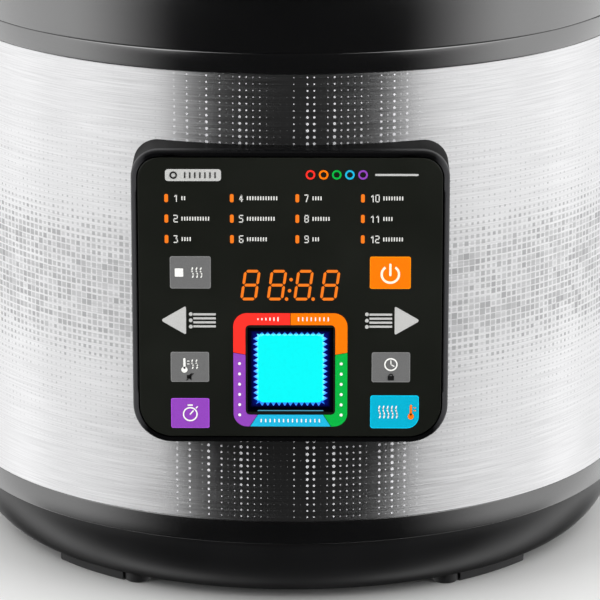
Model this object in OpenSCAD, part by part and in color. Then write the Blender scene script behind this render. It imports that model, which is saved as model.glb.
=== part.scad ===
// Electric pressure cooker with a twist-off lid. The axis of the pot is Z, the floor is z = 0
// and the control panel faces -Y. All sizes are in millimetres.

/* [Drum and base] */
// Outer radius of the steel drum
drum_r = 145; // [142:0.5:160]
// Height of the bare steel wall
drum_h = 186.5; // [180:0.5:230]
// Thickness of the drum's sheet steel
drum_t = 0.6; // [0.4:0.1:1]
// Height of the rubber feet
foot_h = 5; // [4:0.5:10]
// Height of the bowl-shaped base
base_h = 25; // [22:0.5:40]
// How far the top of the base lies inside the drum's face
base_step = 2; // [1:0.5:4]
// How far the base draws in from its top to its bottom
base_draw_in = 13; // [8:0.5:18]
// Wall of the base
base_wall = 2.5; // [2:0.1:3.5]
// Distance from the drum's face in to the edge of the base's opening
opening_inset = 53; // [47:0.5:59]
// Height of the glossy ring under the drum
lower_ring_h = 10; // [7:0.5:14]
// Height of the glossy band over the drum
band_h = 8.5; // [6:0.5:14]
// Radial depth of the ring and of the band
trim_depth = 6; // [5:0.5:8]
// Height of the tongue that each of them puts inside the drum
lap_h = 6; // [4:0.5:9]
// Wall of that tongue
lap_t = 3; // [2:0.5:4]
// Height of the black collar
collar_h = 27; // [24:0.5:34]
// Wall of the collar
collar_wall = 3.5; // [2.5:0.5:4.5]
// Height of the collar's rim over its inner shelf
shelf_drop = 17; // [16:0.5:19]
// Thickness of the collar's inner shelf
shelf_t = 4; // [3:0.5:5]
// Chamfer on the edges of the ring, the band and the collar
trim_chamfer = 0.5; // [0.3:0.1:1]

/* [Feet and bottom cover] */
// Distance from the drum's face in to the middle of a foot
foot_inset = 23; // [22:0.5:27]
// Width of a foot
foot_w = 10; // [8:0.5:12]
// Angle from the front, or from the back, at which a foot's round pad stands
foot_pad_angle = 32; // [24:1:32]
// Angle at which a foot's arc starts
foot_arc_start = 34; // [33:1:38]
// Angle that a foot's arc spans
foot_arc_span = 17; // [14:1:22]
// Radius of a foot's round pad
foot_pad_r = 5.5; // [5:0.5:7]
// How far the bottom cover laps the edge of the base's opening
cover_lap = 10; // [8:0.5:14]
// Thickness of the bottom cover
cover_t = 2.5; // [2:0.1:3]
// Distance of the cover's screws from its edge
cover_screw_inset = 5; // [4.5:0.5:6]
// Length of a ventilation slot
vent_l = 40; // [20:1:50]
// Width of a ventilation slot
vent_w = 4; // [3:0.5:4.5]

/* [Side handles] */
// How far a side handle reaches out from the drum
handle_reach = 27; // [24:0.5:34]
// Length of a side handle from front to back
handle_l = 92; // [80:1:104]
// Height of a side handle
handle_h = 15; // [13:0.5:17]
// Width of the finger slot
finger_w = 14; // [12:0.5:15]
// Length of the finger slot
finger_l = 64; // [56:1:70]
// Thickness of the strip between the finger slot and the collar
handle_strip = 4; // [3:0.5:5]
// Distance of the handle screws from the handle's middle
handle_screw_y = 39; // [38:0.5:41]

/* [Pot and vessel] */
// Room between the drum's face and the cooking pot's wall
pot_room = 30; // [29:0.5:35]
// Height of the cooking pot
pot_h = 164.3; // [150:0.1:172]
// Wall of the cooking pot
pot_t = 1.6; // [1.2:0.1:2.5]
// Radius of the corner between the pot's wall and its floor
pot_corner_r = 14; // [8:0.5:20]
// How far the pot's rim stands out from its wall
pot_lip = 6; // [5:0.5:7]
// Thickness of the pot's rim
pot_rim_t = 2; // [1.6:0.1:2.6]
// Gap between the pot and the vessel around it
vessel_gap = 4; // [3:0.5:5]
// Wall of the vessel
vessel_t = 1; // [0.8:0.1:1.4]
// Height of the pot's rim over the vessel's flange
rim_gap = 0.8; // [0.4:0.1:1.5]

/* [Heater and sensor] */
// How far the heating plate's edge lies inside the pot's wall
plate_inset = 25; // [19:0.5:31]
// Thickness of the heating plate
plate_t = 12; // [11:0.5:15]
// Height of the heating plate's foot
plate_foot_h = 7.5; // [6.5:0.5:10]
// Inner radius of the heating plate's foot
plate_foot_r = 30; // [28:0.5:34]
// Width of the heating plate's foot
plate_foot_w = 14; // [8:0.5:15]
// Distance of the heating element from the heating plate's edge
element_inset = 20; // [16:0.5:24]
// Radius of the heating element's tube
element_tube_r = 4.2; // [3.5:0.1:4.8]
// Radius of the insulator at each end of the element
terminal_r = 6; // [5.5:0.5:7]
// Length of that insulator
terminal_l = 16; // [14:0.5:20]
// Angle that the element's ring spans
element_span = 320; // [300:1:330]
// Thickness of the spring plate under the heating plate
spring_plate_t = 1.2; // [0.8:0.1:2]
// How far the spring plate's edge lies inside the pot's wall
spring_plate_inset = 15; // [9:0.5:19]
// Radius of the temperature sensor
sensor_r = 12; // [10:0.5:14]
// Height of the temperature sensor's cap
sensor_h = 10; // [8:0.5:11]
// Radius of the sensor's stem
stem_r = 4; // [3:0.5:4.5]
// Gap between the sensor and the heating plate around it
sensor_gap = 0.6; // [0.4:0.1:1]
// Depth of the sensor's bracket under the vessel
bracket_drop = 10; // [8:0.5:12]
// Travel of the temperature sensor
sensor_travel = 2; // [1:0.5:2.5]
// How far the tie rods stand inside the pot's wall
tie_inset = 7; // [5:0.5:9]

/* [Lid] */
// Radial gap between the pot's rim and the lid's skirt
skirt_gap = 1.6; // [1.2:0.1:2.4]
// Thickness of the lid's inner steel plate
lid_t = 2; // [1.5:0.1:2.5]
// Number of lugs on the lid
lug_n = 8; // [6:1:9]
// How far a lug stands out of the lid's skirt
lug_reach = 6; // [5:0.5:7]
// Angle that a lug spans
lug_angle = 18; // [14:1:19]
// Clearance on each side of a lug as it drops through its gap
lug_gap_angle = 3; // [2:0.5:3.5]
// Height of the steel lid's raised middle
lid_rise = 8.7; // [7:0.1:11]
// How far the lid's raised middle lies inside the pot's wall
lid_middle_inset = 20; // [17:0.5:23]
// Gap between the lid cover and the collar's rim
cover_gap = 1; // [0.6:0.1:2]
// How far the lid cover's edge lies inside the drum's face
cover_inset = 2; // [1:0.5:4]
// Height of the lid cover from its edge to its top
cover_h = 27; // [24:0.5:34]
// Height of the lid cover's upright edge
cover_edge_h = 8; // [6:0.5:11]
// Wall of the lid cover
lid_cover_wall = 3; // [2.5:0.1:3.5]
// Distance of the valves from the edge of the lid's raised middle
valve_inset = 17; // [15:0.5:21]
// Angle between the steam valve and the float valve
float_angle = 30; // [28:1:40]
// Height of the sealing ring
seal_h = 8; // [7:0.5:9]
// How far the sealing ring reaches inside the pot's wall
seal_inset = 2.5; // [1.5:0.5:3]

/* [Lid handle and valves] */
// Length of the lid handle
grip_l = 148; // [130:1:170]
// Width of the lid handle
grip_w = 34; // [26:1:40]
// Height of the lid handle over the lid cover
grip_h = 30; // [28:0.5:36]
// Thickness of the lid handle's bar
grip_t = 13; // [11:0.5:14]
// Length of the finger gap under the bar
grip_gap_l = 84; // [76:1:96]
// Outer radius of the steam pipe
pipe_r = 4; // [3.5:0.1:5]
// Bore radius of the steam pipe
pipe_bore_r = 1.5; // [1:0.1:2]
// Outer radius of the steam valve's weight
weight_r = 9; // [8:0.5:10]
// Outer radius of the steam valve's knob
knob_r = 16; // [14:0.5:18]
// Height of the steam valve's knob
knob_h = 15; // [13:0.5:20]
// Length of the steam valve's finger tab
tab_l = 16; // [12:0.5:20]
// Radius of the float valve's pin
float_r = 3; // [2.5:0.1:3.5]
// Rise of the float valve
float_rise = 5; // [3:0.5:5]
// Outer radius of the shield around the steam pipe's inlet
shield_r = 15; // [13:0.5:16]
// Height of that shield
shield_h = 15.7; // [12:0.1:16]

/* [Control panel] */
// Width of the control panel
panel_w = 126.6; // [120:0.1:140]
// Height of the control panel
panel_h = 121; // [119:0.5:132]
// Height of the panel's lower edge over the lower edge of the steel
panel_lift = 37; // [30:0.5:42]
// How far the panel stands out of the drum at its middle
panel_proud = 10; // [9.5:0.5:14]
// Radius of the panel's upper corners
panel_top_corner_r = 11; // [9:0.5:16]
// Radius of the panel's lower corners
panel_low_corner_r = 16; // [12:0.5:20]
// Rounding of the panel's front edge
panel_edge_r = 2.4; // [1.5:0.1:3]
// Width of the frame around the front plate
frame_w = 2.2; // [1.5:0.1:3]
// Width of the groove between the frame and the front plate
groove_w = 0.6; // [0.4:0.1:1]
// Thickness of the front plate
front_t = 2; // [1.5:0.1:2.5]
// Wall of the panel's housing
panel_wall = 2.5; // [2:0.1:3]
// Distance from the front plate's back to the control board
board_gap = 4.4; // [4:0.1:4.6]
// Thickness of a circuit board
board_t = 1.6; // [1.2:0.2:2]
// Thickness of the printed marks and keys
print_t = 0.2; // [0.1:0.05:0.3]

/* [Panel layout] */
// Distance between columns of programme lights
led_pitch_x = 26; // [25:0.1:26.5]
// Distance between rows of programme lights
led_pitch_z = 8.4; // [7.5:0.1:9]
// Height of the top row of lights over the panel's lower edge
led_top = 101.8; // [101:0.1:104]
// Width of a light window
led_w = 1.9; // [1.5:0.1:2.5]
// Height of a light window
led_h = 3.7; // [3:0.1:4.5]
// Height of the display's digits
digit_h = 11.5; // [11:0.1:14]
// Distance between the digits
digit_pitch = 10.6; // [10:0.1:11]
// Height of the display's lower edge over the panel's lower edge
digit_low = 60.3; // [59.5:0.1:61.5]
// Slant of the digits
digit_slant = 8; // [5:1:10]
// Outer width of the coloured ring
colour_ring_w = 45.7; // [43:0.1:48]
// Outer height of the coloured ring
colour_ring_h = 47.4; // [44:0.1:48.5]
// Width of the coloured band
colour_band = 4.8; // [4:0.1:5]
// Height of the ring's middle over the panel's lower edge
colour_ring_mid = 30.7; // [30:0.1:32.5]
// Width of the status light
lens_w = 30; // [28:0.1:30.5]
// Height of the status light
lens_h = 31; // [29:0.1:31.5]
// Teeth along each side of the status light
lens_teeth = 12; // [8:1:14]
// Distance of the keys' outer edge from the panel's middle
key_edge = 48; // [47:0.1:49]
// Width of the upper keys
key_top_w = 16.3; // [14:0.1:17]
// Height of the upper keys
key_top_h = 13.3; // [12:0.1:14]
// Height of the upper keys' lower edge over the panel's lower edge
key_top_low = 64.6; // [64:0.1:66.5]
// Width of the middle and lower keys
key_w = 15.4; // [14:0.1:16.5]
// Height of the middle and lower keys
key_h = 12.5; // [11:0.1:13]
// Height of the middle keys' lower edge over the panel's lower edge
key_mid_low = 25.7; // [25:0.1:28]
// Height of the lower keys' lower edge over the panel's lower edge
key_low = 6.3; // [6:0.1:9]
// Width of the lower right key
key_warm_w = 19.5; // [15:0.1:20]
// Height of the lower right key
key_warm_h = 13.8; // [12:0.1:14]
// Corner radius of that key, on its outer lower side
key_warm_r = 4.8; // [1:0.1:5]
// Height of the arrows' middle over the panel's lower edge
arrow_mid = 51.4; // [51:0.1:53]
// Height of an arrow
arrow_h = 11.8; // [10:0.1:12.5]

/* [Condensation cup] */
// Width of the cup
cup_w = 50; // [44:0.5:54]
// Height of the cup
cup_h = 44; // [38:0.5:46]
// Depth of the cup from front to back
cup_d = 30; // [26:0.5:32]
// How far the cup stands out behind the drum
cup_proud = 14; // [12:0.5:14]
// Wall of the cup
cup_wall = 1.5; // [1.2:0.1:2]
// Gap between the cup and its bracket
cup_gap = 0.5; // [0.4:0.1:1]
// Wall of the cup's bracket
bracket_wall = 1.8; // [1.5:0.1:2]
// Distance from the top of the steel down to the bracket's top
bracket_top_gap = 10; // [9:0.5:14]

/* [Mains inlet and boards] */
// Width of the inlet's recess, for a standard appliance connector
inlet_w = 24.4; // [24:0.1:25]
// Height of the inlet's recess
inlet_h = 16.4; // [16:0.1:17]
// Depth of the inlet's recess
inlet_depth = 16.5; // [16:0.1:17]
// Height of the inlet's middle over the lower edge of the steel
inlet_lift = 22; // [20:0.5:24]
// Width of the power board
power_w = 128; // [110:1:130]
// Depth of the power board
power_d = 88; // [80:1:92]
// Height of the power board over the bottom cover
power_lift = 9; // [8:0.5:10]

/* [Hidden] */
$fn = 96;

// Clearances
fit = 0.1;          // between two pieces that are fixed together
run = 0.3;          // between two pieces that move past each other
eps = 0.01;         // overlap that keeps a union or a cut clean

// Levels of the housing, from the floor up
z_ring = foot_h + base_h;
z_drum = z_ring + lower_ring_h;
z_band = z_drum + drum_h;
z_collar = z_band + band_h;
z_rim = z_collar + collar_h;
z_shelf = z_rim - shelf_drop;

// Levels of the pot, the heater and the vessel, from the shelf down
z_flange = z_shelf + vessel_t;
z_pot_rim = z_flange + rim_gap + pot_rim_t;
z_pot_floor = z_pot_rim - pot_h;
z_plate = z_pot_floor - run;
z_plate_low = z_plate - plate_t;
z_foot_low = z_plate_low - plate_foot_h;
z_vessel = z_foot_low - spring_plate_t - vessel_t;

// Radii of the base, the pot, the vessel and the lid, from the axis out
base_opening_r = drum_r - opening_inset;
foot_ring_r = drum_r - foot_inset;
cover_r = base_opening_r + cover_lap;
cover_screw_ring_r = cover_r - cover_screw_inset;
pot_r = drum_r - pot_room;
plate_r = pot_r - plate_inset;
element_ring_r = plate_r - element_inset;
spring_plate_r = pot_r - spring_plate_inset;
tie_ring_r = pot_r - tie_inset;
lid_middle_r = pot_r - lid_middle_inset;
valve_ring_r = lid_middle_r - valve_inset;
lid_screw_ring_r = valve_ring_r - 22;
vessel_r = pot_r + vessel_gap;
pot_lip_r = pot_r + pot_lip;
skirt_in_r = pot_lip_r + skirt_gap;
skirt_r = skirt_in_r + lid_t;
lug_r = skirt_r + lug_reach;
lock_in_r = lug_r + 1.4;
lock_t = 2;
lock_r = lock_in_r + lock_t;
tab_in_r = skirt_r + 1.9;
flange_r = lock_r + 5;
collar_in_r = drum_r - collar_wall;
shelf_in_r = vessel_r + vessel_t + 0.5;

// Levels of the seal and the lid, from the pot's rim up
z_seal = z_pot_rim + run;
z_lid = z_seal + seal_h + run;
z_skirt = z_pot_rim + 1.5;
z_lug = z_skirt + 0.7;
lug_t = 2;
z_tab = z_lug + lug_t + 2.5;
tab_t = 2;
z_lid_middle = z_lid + lid_rise;
z_middle_top = z_lid_middle + lid_t;
z_cover = z_rim + cover_gap;
z_cover_top = z_cover + cover_h;

// Curves of the base and of the lid cover
base_top_r = drum_r - base_step;
bowl_r = (base_h * base_h + base_draw_in * base_draw_in) / (2 * base_draw_in);
bowl_x = base_top_r - bowl_r;
cover_out_r = drum_r - cover_inset;
dome_rise = cover_h - cover_edge_h;
dome_r = (cover_out_r * cover_out_r + dome_rise * dome_rise) / (2 * dome_rise);
function dome_z(r) = z_cover_top - dome_r + sqrt(dome_r * dome_r - r * r);

// Heating element
groove_gap = 0.4;
element_pin_l = 6;

// Control panel, measured from the drum's axis and the panel's lower edge
panel_low = z_drum + panel_lift;
panel_front = drum_r + panel_proud;
board_front = panel_front - front_t - board_gap;
front_wall = 2;
inner_front = panel_front - front_t - front_wall;
ledge = 10;
boss_x = 30;
boss_edge = 7.5;
post_x = panel_w / 2 - 9;
post_edge = 18;
board_edge = 12;

// Programme grid and display
led_cols = 4;
led_rows = 3;
led_left = -49.2;
mark_gap = 2;
mark_w = [[5, 16, 7], [17, 16, 12], [7, 11, 6], [15, 9, 14]];
mark_h = 1.2;

// Condensation cup and its bracket
cup_top = z_band - bracket_top_gap - bracket_wall - cup_gap;
cup_back = drum_r + cup_proud;
cup_front = cup_back - cup_d;
bracket_w = cup_w + 2 * (cup_gap + bracket_wall);
bracket_h = cup_h + 2 * (cup_gap + bracket_wall);
bracket_low = cup_top - cup_h - cup_gap - bracket_wall;
bracket_front = cup_front - cup_gap - bracket_wall;
flange_t = 1.6;
flange_w = 4;

// Mains inlet
inlet_z = z_drum + inlet_lift;
inlet_wall = 2;
inlet_face = drum_r + flange_t;
inlet_back = inlet_face - inlet_depth;
inlet_floor = 3;
pin_pitch = 7;
pin_l = 14;
pin_tab = 3;

// Screws and bosses
screw_r = 1.5;
screw_head_r = 2.6;
screw_head_t = 1.6;
cover_boss_r = 4;
cover_boss_h = 8;
handle_screw_r = 2;
handle_z = z_rim - 6 - handle_h;
handle_screw_z = z_collar + (z_shelf - shelf_t - z_collar) / 2;

// Boards in the base
power_z = foot_h + power_lift;
power_y = -18;
z_parts = power_z + board_t;
terminal_y = power_y + power_d / 2 - 22;

// Points of an arc, and of a plate with two upper and two lower corners
function arc_points(cx, cy, r, a0, a1, n = 6) =
  [for (i = [0 : n]) [cx + r * cos(a0 + (a1 - a0) * i / n), cy + r * sin(a0 + (a1 - a0) * i / n)]];

function plate_points(w, h, low_r, high_r) = concat(
  arc_points(w / 2 - low_r, low_r, low_r, -90, 0),
  arc_points(w / 2 - high_r, h - high_r, high_r, 0, 90),
  arc_points(-w / 2 + high_r, h - high_r, high_r, 90, 180),
  arc_points(-w / 2 + low_r, low_r, low_r, 180, 270));

// Outline of the control panel, drawn in by an inset on every side
module panel_outline(inset) {
  translate([0, inset])
    polygon(plate_points(panel_w - 2 * inset, panel_h - 2 * inset,
      max(panel_low_corner_r - inset, 1), max(panel_top_corner_r - inset, 1)));
}

// Ring between two radii
module ring(r_in, r_out, z, h) {
  translate([0, 0, z])
    rotate_extrude()
      translate([r_in, 0])
        square([r_out - r_in, h]);
}

// Part of a ring, from an angle on
module ring_sector(r_in, r_out, z, h, from, span) {
  translate([0, 0, z])
    rotate([0, 0, from])
      rotate_extrude(angle = span)
        translate([r_in, 0])
          square([r_out - r_in, h]);
}

// A flat shape drawn in X and Z, extruded towards the front from a distance behind it
module facing_front(distance, thickness) {
  translate([0, -distance, 0])
    rotate([90, 0, 0])
      linear_extrude(thickness)
        children();
}

// The same on the front plate's face, measured from the panel's lower edge
module printed() {
  translate([0, 0, panel_low])
    facing_front(panel_front, print_t)
      children();
}

// A cylinder along Y from y0 to y1
module rod_y(x, z, y0, y1, r) {
  translate([x, y1, z])
    rotate([90, 0, 0])
      cylinder(r = r, h = y1 - y0);
}

// The four mirrored quarters of something drawn in the front right quarter
module in_four_quarters() {
  for (side = [0, 1], end = [0, 1])
    mirror([side, 0, 0])
      mirror([0, end, 0])
        children();
}

// A lead swept along its points with an eight-sided section
function unit(v) = v / norm(v);
function way(p, i) = unit(p[min(i + 1, len(p) - 1)] - p[max(i - 1, 0)]);
function across(d) = unit(cross(d, abs(d[0]) < 0.9 ? [1, 0, 0] : [0, 1, 0]));

module lead(p, r, sides = 8) {
  n = len(p);
  rings = [for (i = [0 : n - 1])
    let (d = way(p, i), a = across(d), b = cross(d, a))
    [for (k = [0 : sides - 1]) p[i] + r * (cos(360 * k / sides) * a + sin(360 * k / sides) * b)]];
  flat = [for (ring_points = rings) each ring_points];
  walls = [for (i = [0 : n - 2], k = [0 : sides - 1])
    let (k2 = (k + 1) % sides)
    each [[i * sides + k, (i + 1) * sides + k, (i + 1) * sides + k2],
       [i * sides + k, (i + 1) * sides + k2, i * sides + k2]]];
  start = [[for (k = [0 : sides - 1]) k]];
  finish = [[for (k = [sides - 1 : -1 : 0]) (n - 1) * sides + k]];
  polyhedron(flat, concat(walls, start, finish));
}

// ---- Base, drum and collar ----

// Four arc-shaped rubber feet, each with a round pad at its end
module feet() {
  color("#2b2b2c")
    in_four_quarters() {
      ring_sector(foot_ring_r - foot_w / 2, foot_ring_r + foot_w / 2, 0, foot_h,
        -90 + foot_arc_start, foot_arc_span);
      ring_sector(foot_ring_r - foot_w / 4, foot_ring_r + foot_w / 4, foot_h / 2, foot_h / 2,
        -90 + foot_pad_angle, foot_arc_start - foot_pad_angle + 1);
      rotate([0, 0, -90 + foot_pad_angle])
        translate([foot_ring_r, 0, 0])
          cylinder(r = foot_pad_r, h = foot_h);
    }
}

module cover_screw_places() {
  for (a = [0 : 90 : 270])
    rotate([0, 0, a])
      translate([cover_screw_ring_r, 0, 0])
        children();
}

// Flat cover that closes the base from below and carries the power board
module bottom_cover() {
  slots = 7;
  slot_pitch = 2.5 * vent_w;
  standoff_r = 3;
  color("#1d1d1e") {
    difference() {
      translate([0, 0, foot_h - cover_t])
        cylinder(r = cover_r, h = cover_t);
      for (i = [0 : slots - 1])
        translate([(i - (slots - 1) / 2) * slot_pitch - vent_w / 2, 32, 0])
          cube([vent_w, vent_l, foot_h + 1]);
      cover_screw_places()
        cylinder(r = screw_r + fit, h = foot_h + 1);
    }
    power_board_corners()
      translate([0, 0, foot_h - eps])
        cylinder(r = standoff_r, h = power_lift + eps);
  }
}

// Section of the bowl-shaped base, drawn in by an inset
module bowl_section(inset) {
  intersection() {
    union() {
      translate([bowl_x, z_ring])
        circle(r = bowl_r - inset);
      translate([base_opening_r, foot_h])
        square([bowl_x - base_opening_r, 2 * base_h]);
    }
    translate([base_opening_r, foot_h + inset])
      square([drum_r, base_h - inset]);
  }
}

module base_bowl() {
  color("#161617")
    difference() {
      union() {
        rotate_extrude()
          difference() {
            bowl_section(0);
            bowl_section(base_wall);
          }
        cover_screw_places()
          translate([0, 0, foot_h])
            cylinder(r = cover_boss_r, h = cover_boss_h);
      }
      cover_screw_places()
        cylinder(r = screw_r, h = foot_h + cover_boss_h - 1);
    }
}

// Section of a trim ring whose tongue points up
module trim_section(h) {
  c = trim_chamfer;
  tongue_r = drum_r - drum_t - fit;
  polygon([[drum_r - trim_depth, 0], [drum_r - c, 0], [drum_r, c], [drum_r, h - c], [drum_r - c, h],
    [tongue_r, h], [tongue_r, h + lap_h], [tongue_r - lap_t, h + lap_h],
    [tongue_r - lap_t, h], [drum_r - trim_depth, h]]);
}

module lower_ring() {
  color("#0e0e0f")
    translate([0, 0, z_ring])
      rotate_extrude()
        trim_section(lower_ring_h);
}

module upper_band() {
  color("#0e0e0f")
    translate([0, 0, z_collar])
      mirror([0, 0, 1])
        rotate_extrude()
          trim_section(band_h);
}

module bezel_screw_places() {
  for (x = [-boss_x, boss_x], z = [panel_low + boss_edge, panel_low + panel_h - boss_edge])
    translate([x, 0, z])
      children();
}

module inlet_screw_places() {
  for (x = [-1, 1])
    translate([x * (inlet_w / 2 + inlet_wall + 4), 0, inlet_z])
      children();
}

// Sheet steel wall with windows for the panel's cable, the cup and the inlet
module steel_drum() {
  window_w = 60;
  window_h = 44;
  window_lift = 20;
  side = inlet_w + 2 * (inlet_wall + fit);
  tall = inlet_h + 2 * (inlet_wall + fit);
  color("#b9babb")
    difference() {
      ring(drum_r - drum_t, drum_r, z_drum, drum_h);
      translate([-window_w / 2, -drum_r - 1, panel_low + window_lift])
        cube([window_w, drum_r, window_h]);
      translate([-bracket_w / 2 - fit, 0, bracket_low - fit])
        cube([bracket_w + 2 * fit, drum_r + 1, bracket_h + 2 * fit]);
      translate([-side / 2, 0, inlet_z - tall / 2])
        cube([side, drum_r + 1, tall]);
      bezel_screw_places()
        rod_y(0, 0, -drum_r - 1, 0, screw_r + fit);
      inlet_screw_places()
        rod_y(0, 0, 0, drum_r + 1, screw_r + fit);
    }
}

// Outer wall with a shelf inside that carries the vessel and the lock ring
module collar() {
  c = trim_chamfer;
  top_round = 1.5;
  color("#0c0c0d")
    difference() {
      rotate_extrude()
        polygon(concat(
          [[collar_in_r, z_collar], [drum_r - c, z_collar], [drum_r, z_collar + c]],
          arc_points(drum_r - top_round, z_rim - top_round, top_round, 0, 90),
          [[collar_in_r, z_rim], [collar_in_r, z_shelf], [shelf_in_r, z_shelf],
          [shelf_in_r, z_shelf - shelf_t], [collar_in_r, z_shelf - shelf_t]]));
      for (side = [-1, 1], y = [-handle_screw_y, handle_screw_y])
        translate([side * drum_r / 2, y, handle_screw_z])
          rotate([0, side * 90, 0])
            cylinder(r = handle_screw_r + fit, h = drum_r / 2 + 1);
      rotate([0, 0, 90])
        translate([collar_in_r - 1.3, 0, z_shelf - shelf_t - 1])
          cylinder(r = 1.2, h = shelf_t + 2);
      for (a = [0 : 360 / lug_n : 359])
        rotate([0, 0, a])
          translate([(lock_r + flange_r) / 2, 0, z_shelf - shelf_t - 1])
            cylinder(r = screw_r + fit, h = shelf_t + 2);
    }
}

// Handle on the +X side, with a slot for the fingers
module side_handle() {
  corner = 18;
  slot_corner = 6;
  tail = 30;
  slot_x = drum_r + handle_strip;
  screw_in = 8;
  color("#141415")
    difference() {
      translate([drum_r + handle_reach, 0, handle_z])
        linear_extrude(handle_h)
          rotate(90)
            polygon(plate_points(handle_l, handle_reach + tail, corner, 1));
      translate([0, 0, handle_z - 1])
        cylinder(r = drum_r + fit, h = handle_h + 2);
      translate([slot_x + finger_w, 0, handle_z - 1])
        linear_extrude(handle_h + 2)
          rotate(90)
            polygon(plate_points(finger_l, finger_w, slot_corner, slot_corner));
      for (y = [-handle_screw_y, handle_screw_y])
        translate([drum_r / 2, y, handle_screw_z])
          rotate([0, 90, 0])
            cylinder(r = handle_screw_r, h = drum_r / 2 + screw_in);
    }
}

module handle_right() {
  side_handle();
}

module handle_left() {
  mirror([1, 0, 0])
    side_handle();
}

// Screws that hold the side handles, driven from inside the collar
module handle_screws() {
  head_r = 2.5;
  head_t = 2;
  seat_x = sqrt(collar_in_r * collar_in_r - pow(handle_screw_y + head_r, 2)) - fit;
  color("#9a9a9c")
    for (side = [0, 1], y = [-handle_screw_y, handle_screw_y])
      mirror([side, 0, 0])
        translate([seat_x, y, handle_screw_z])
          rotate([0, 90, 0]) {
            translate([0, 0, -head_t])
              cylinder(r = head_r, h = head_t);
            translate([0, 0, -eps])
              cylinder(r = handle_screw_r - fit, h = drum_r + 7 - seat_x - 7);
          }
}

// A small screw whose head ends at z = 0 and whose shank points up
module small_screw(length) {
  translate([0, 0, -screw_head_t])
    cylinder(r = screw_head_r, h = screw_head_t);
  translate([0, 0, -eps])
    cylinder(r = screw_r - fit, h = length + eps);
}

// Screws of the bottom cover, the panel housing, the control board and the inlet
module small_screws() {
  inside = sqrt(pow(drum_r - drum_t, 2) - pow(boss_x + screw_head_r, 2)) - fit;
  color("#a5a5a7") {
    cover_screw_places()
      translate([0, 0, foot_h - cover_t])
        small_screw(cover_t + 5);
    bezel_screw_places()
      translate([0, -inside, 0])
        rotate([90, 0, 0])
          small_screw(panel_front - front_t - front_wall - inside - 1);
    post_places()
      translate([0, -board_front + board_t, 0])
        rotate([90, 0, 0])
          small_screw(board_t + inner_front - board_front + 0.6);
    inlet_screw_places()
      translate([0, inlet_face, 0])
        rotate([90, 0, 0])
          small_screw(6);
  }
}

// ---- Vessel, heater and sensor ----

module terminal_places() {
  for (a = [-90 - (360 - element_span) / 2, -90 + (360 - element_span) / 2])
    rotate([0, 0, a])
      translate([element_ring_r, 0, 0])
        children();
}

module tie_places() {
  for (a = [45 : 90 : 315])
    rotate([0, 0, a])
      translate([tie_ring_r, 0, 0])
        children();
}

// Steel vessel around the pot, hung from the collar's shelf by its flange
module vessel() {
  corner = 6;
  r = vessel_r + vessel_t;
  hole_r = sensor_r + 4;
  color("#a8a9ab")
    difference() {
      rotate_extrude()
        polygon([[hole_r, z_vessel], [r - corner, z_vessel], [r, z_vessel + corner],
          [r, z_shelf], [flange_r, z_shelf], [flange_r, z_flange], [vessel_r, z_flange],
          [vessel_r, z_vessel + corner + 0.4 * vessel_t],
          [r - corner - 0.4 * vessel_t, z_vessel + vessel_t], [hole_r, z_vessel + vessel_t]]);
      terminal_places()
        translate([0, 0, z_vessel - 1])
          cylinder(r = terminal_r + 1, h = vessel_t + 2);
      for (a = [0 : 360 / lug_n : 359])
        rotate([0, 0, a])
          translate([(lock_r + flange_r) / 2, 0, z_shelf - 1])
            cylinder(r = screw_r + fit, h = vessel_t + 2);
    }
}

// Steel ring with tabs that the lid's lugs turn under
module lock_ring() {
  gap = lug_angle + 2 * lug_gap_angle;
  foot_t = 1.5;
  color("#c3c4c6")
    difference() {
      rotate_extrude()
        polygon([[lock_in_r, z_flange], [flange_r, z_flange], [flange_r, z_flange + foot_t],
          [lock_r, z_flange + foot_t], [lock_r, z_tab + tab_t], [tab_in_r, z_tab + tab_t],
          [tab_in_r, z_tab], [lock_in_r, z_tab]]);
      for (i = [0 : lug_n - 1])
        ring_sector(tab_in_r - 2, lock_in_r - 0.5, z_tab - 1, tab_t + 2,
          i * 360 / lug_n - gap / 2, gap);
      for (a = [0 : 360 / lug_n : 359])
        rotate([0, 0, a])
          translate([(lock_r + flange_r) / 2, 0, z_flange - 1])
            cylinder(r = screw_r + fit, h = foot_t + 2);
    }
}

// Rivets through the lock ring, the vessel's flange and the shelf
module lock_rivets() {
  head_r = 2.3;
  head_t = 1;
  low = z_shelf - shelf_t;
  high = z_flange + 1.5;
  color("#b0b1b3")
    for (a = [0 : 360 / lug_n : 359])
      rotate([0, 0, a])
        translate([(lock_r + flange_r) / 2, 0, 0]) {
          translate([0, 0, low - head_t])
            cylinder(r = head_r, h = head_t);
          translate([0, 0, low - eps])
            cylinder(r = screw_r, h = high - low + 2 * eps);
          translate([0, 0, high])
            cylinder(r = head_r, h = head_t);
        }
}

// Springy steel plate that lets the heater sink a little under pressure
module spring_plate() {
  hole_r = 4;
  color("#8f9396")
    difference() {
      ring(sensor_r + 4, spring_plate_r, z_vessel + vessel_t, spring_plate_t);
      terminal_places()
        translate([0, 0, z_vessel])
          cylinder(r = terminal_r + 1, h = vessel_t + spring_plate_t + 1);
      for (a = [15 : 30 : 345])
        rotate([0, 0, a])
          translate([spring_plate_r - 2 * hole_r, 0, z_vessel])
            cylinder(r = hole_r, h = vessel_t + spring_plate_t + 1);
    }
}

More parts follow.
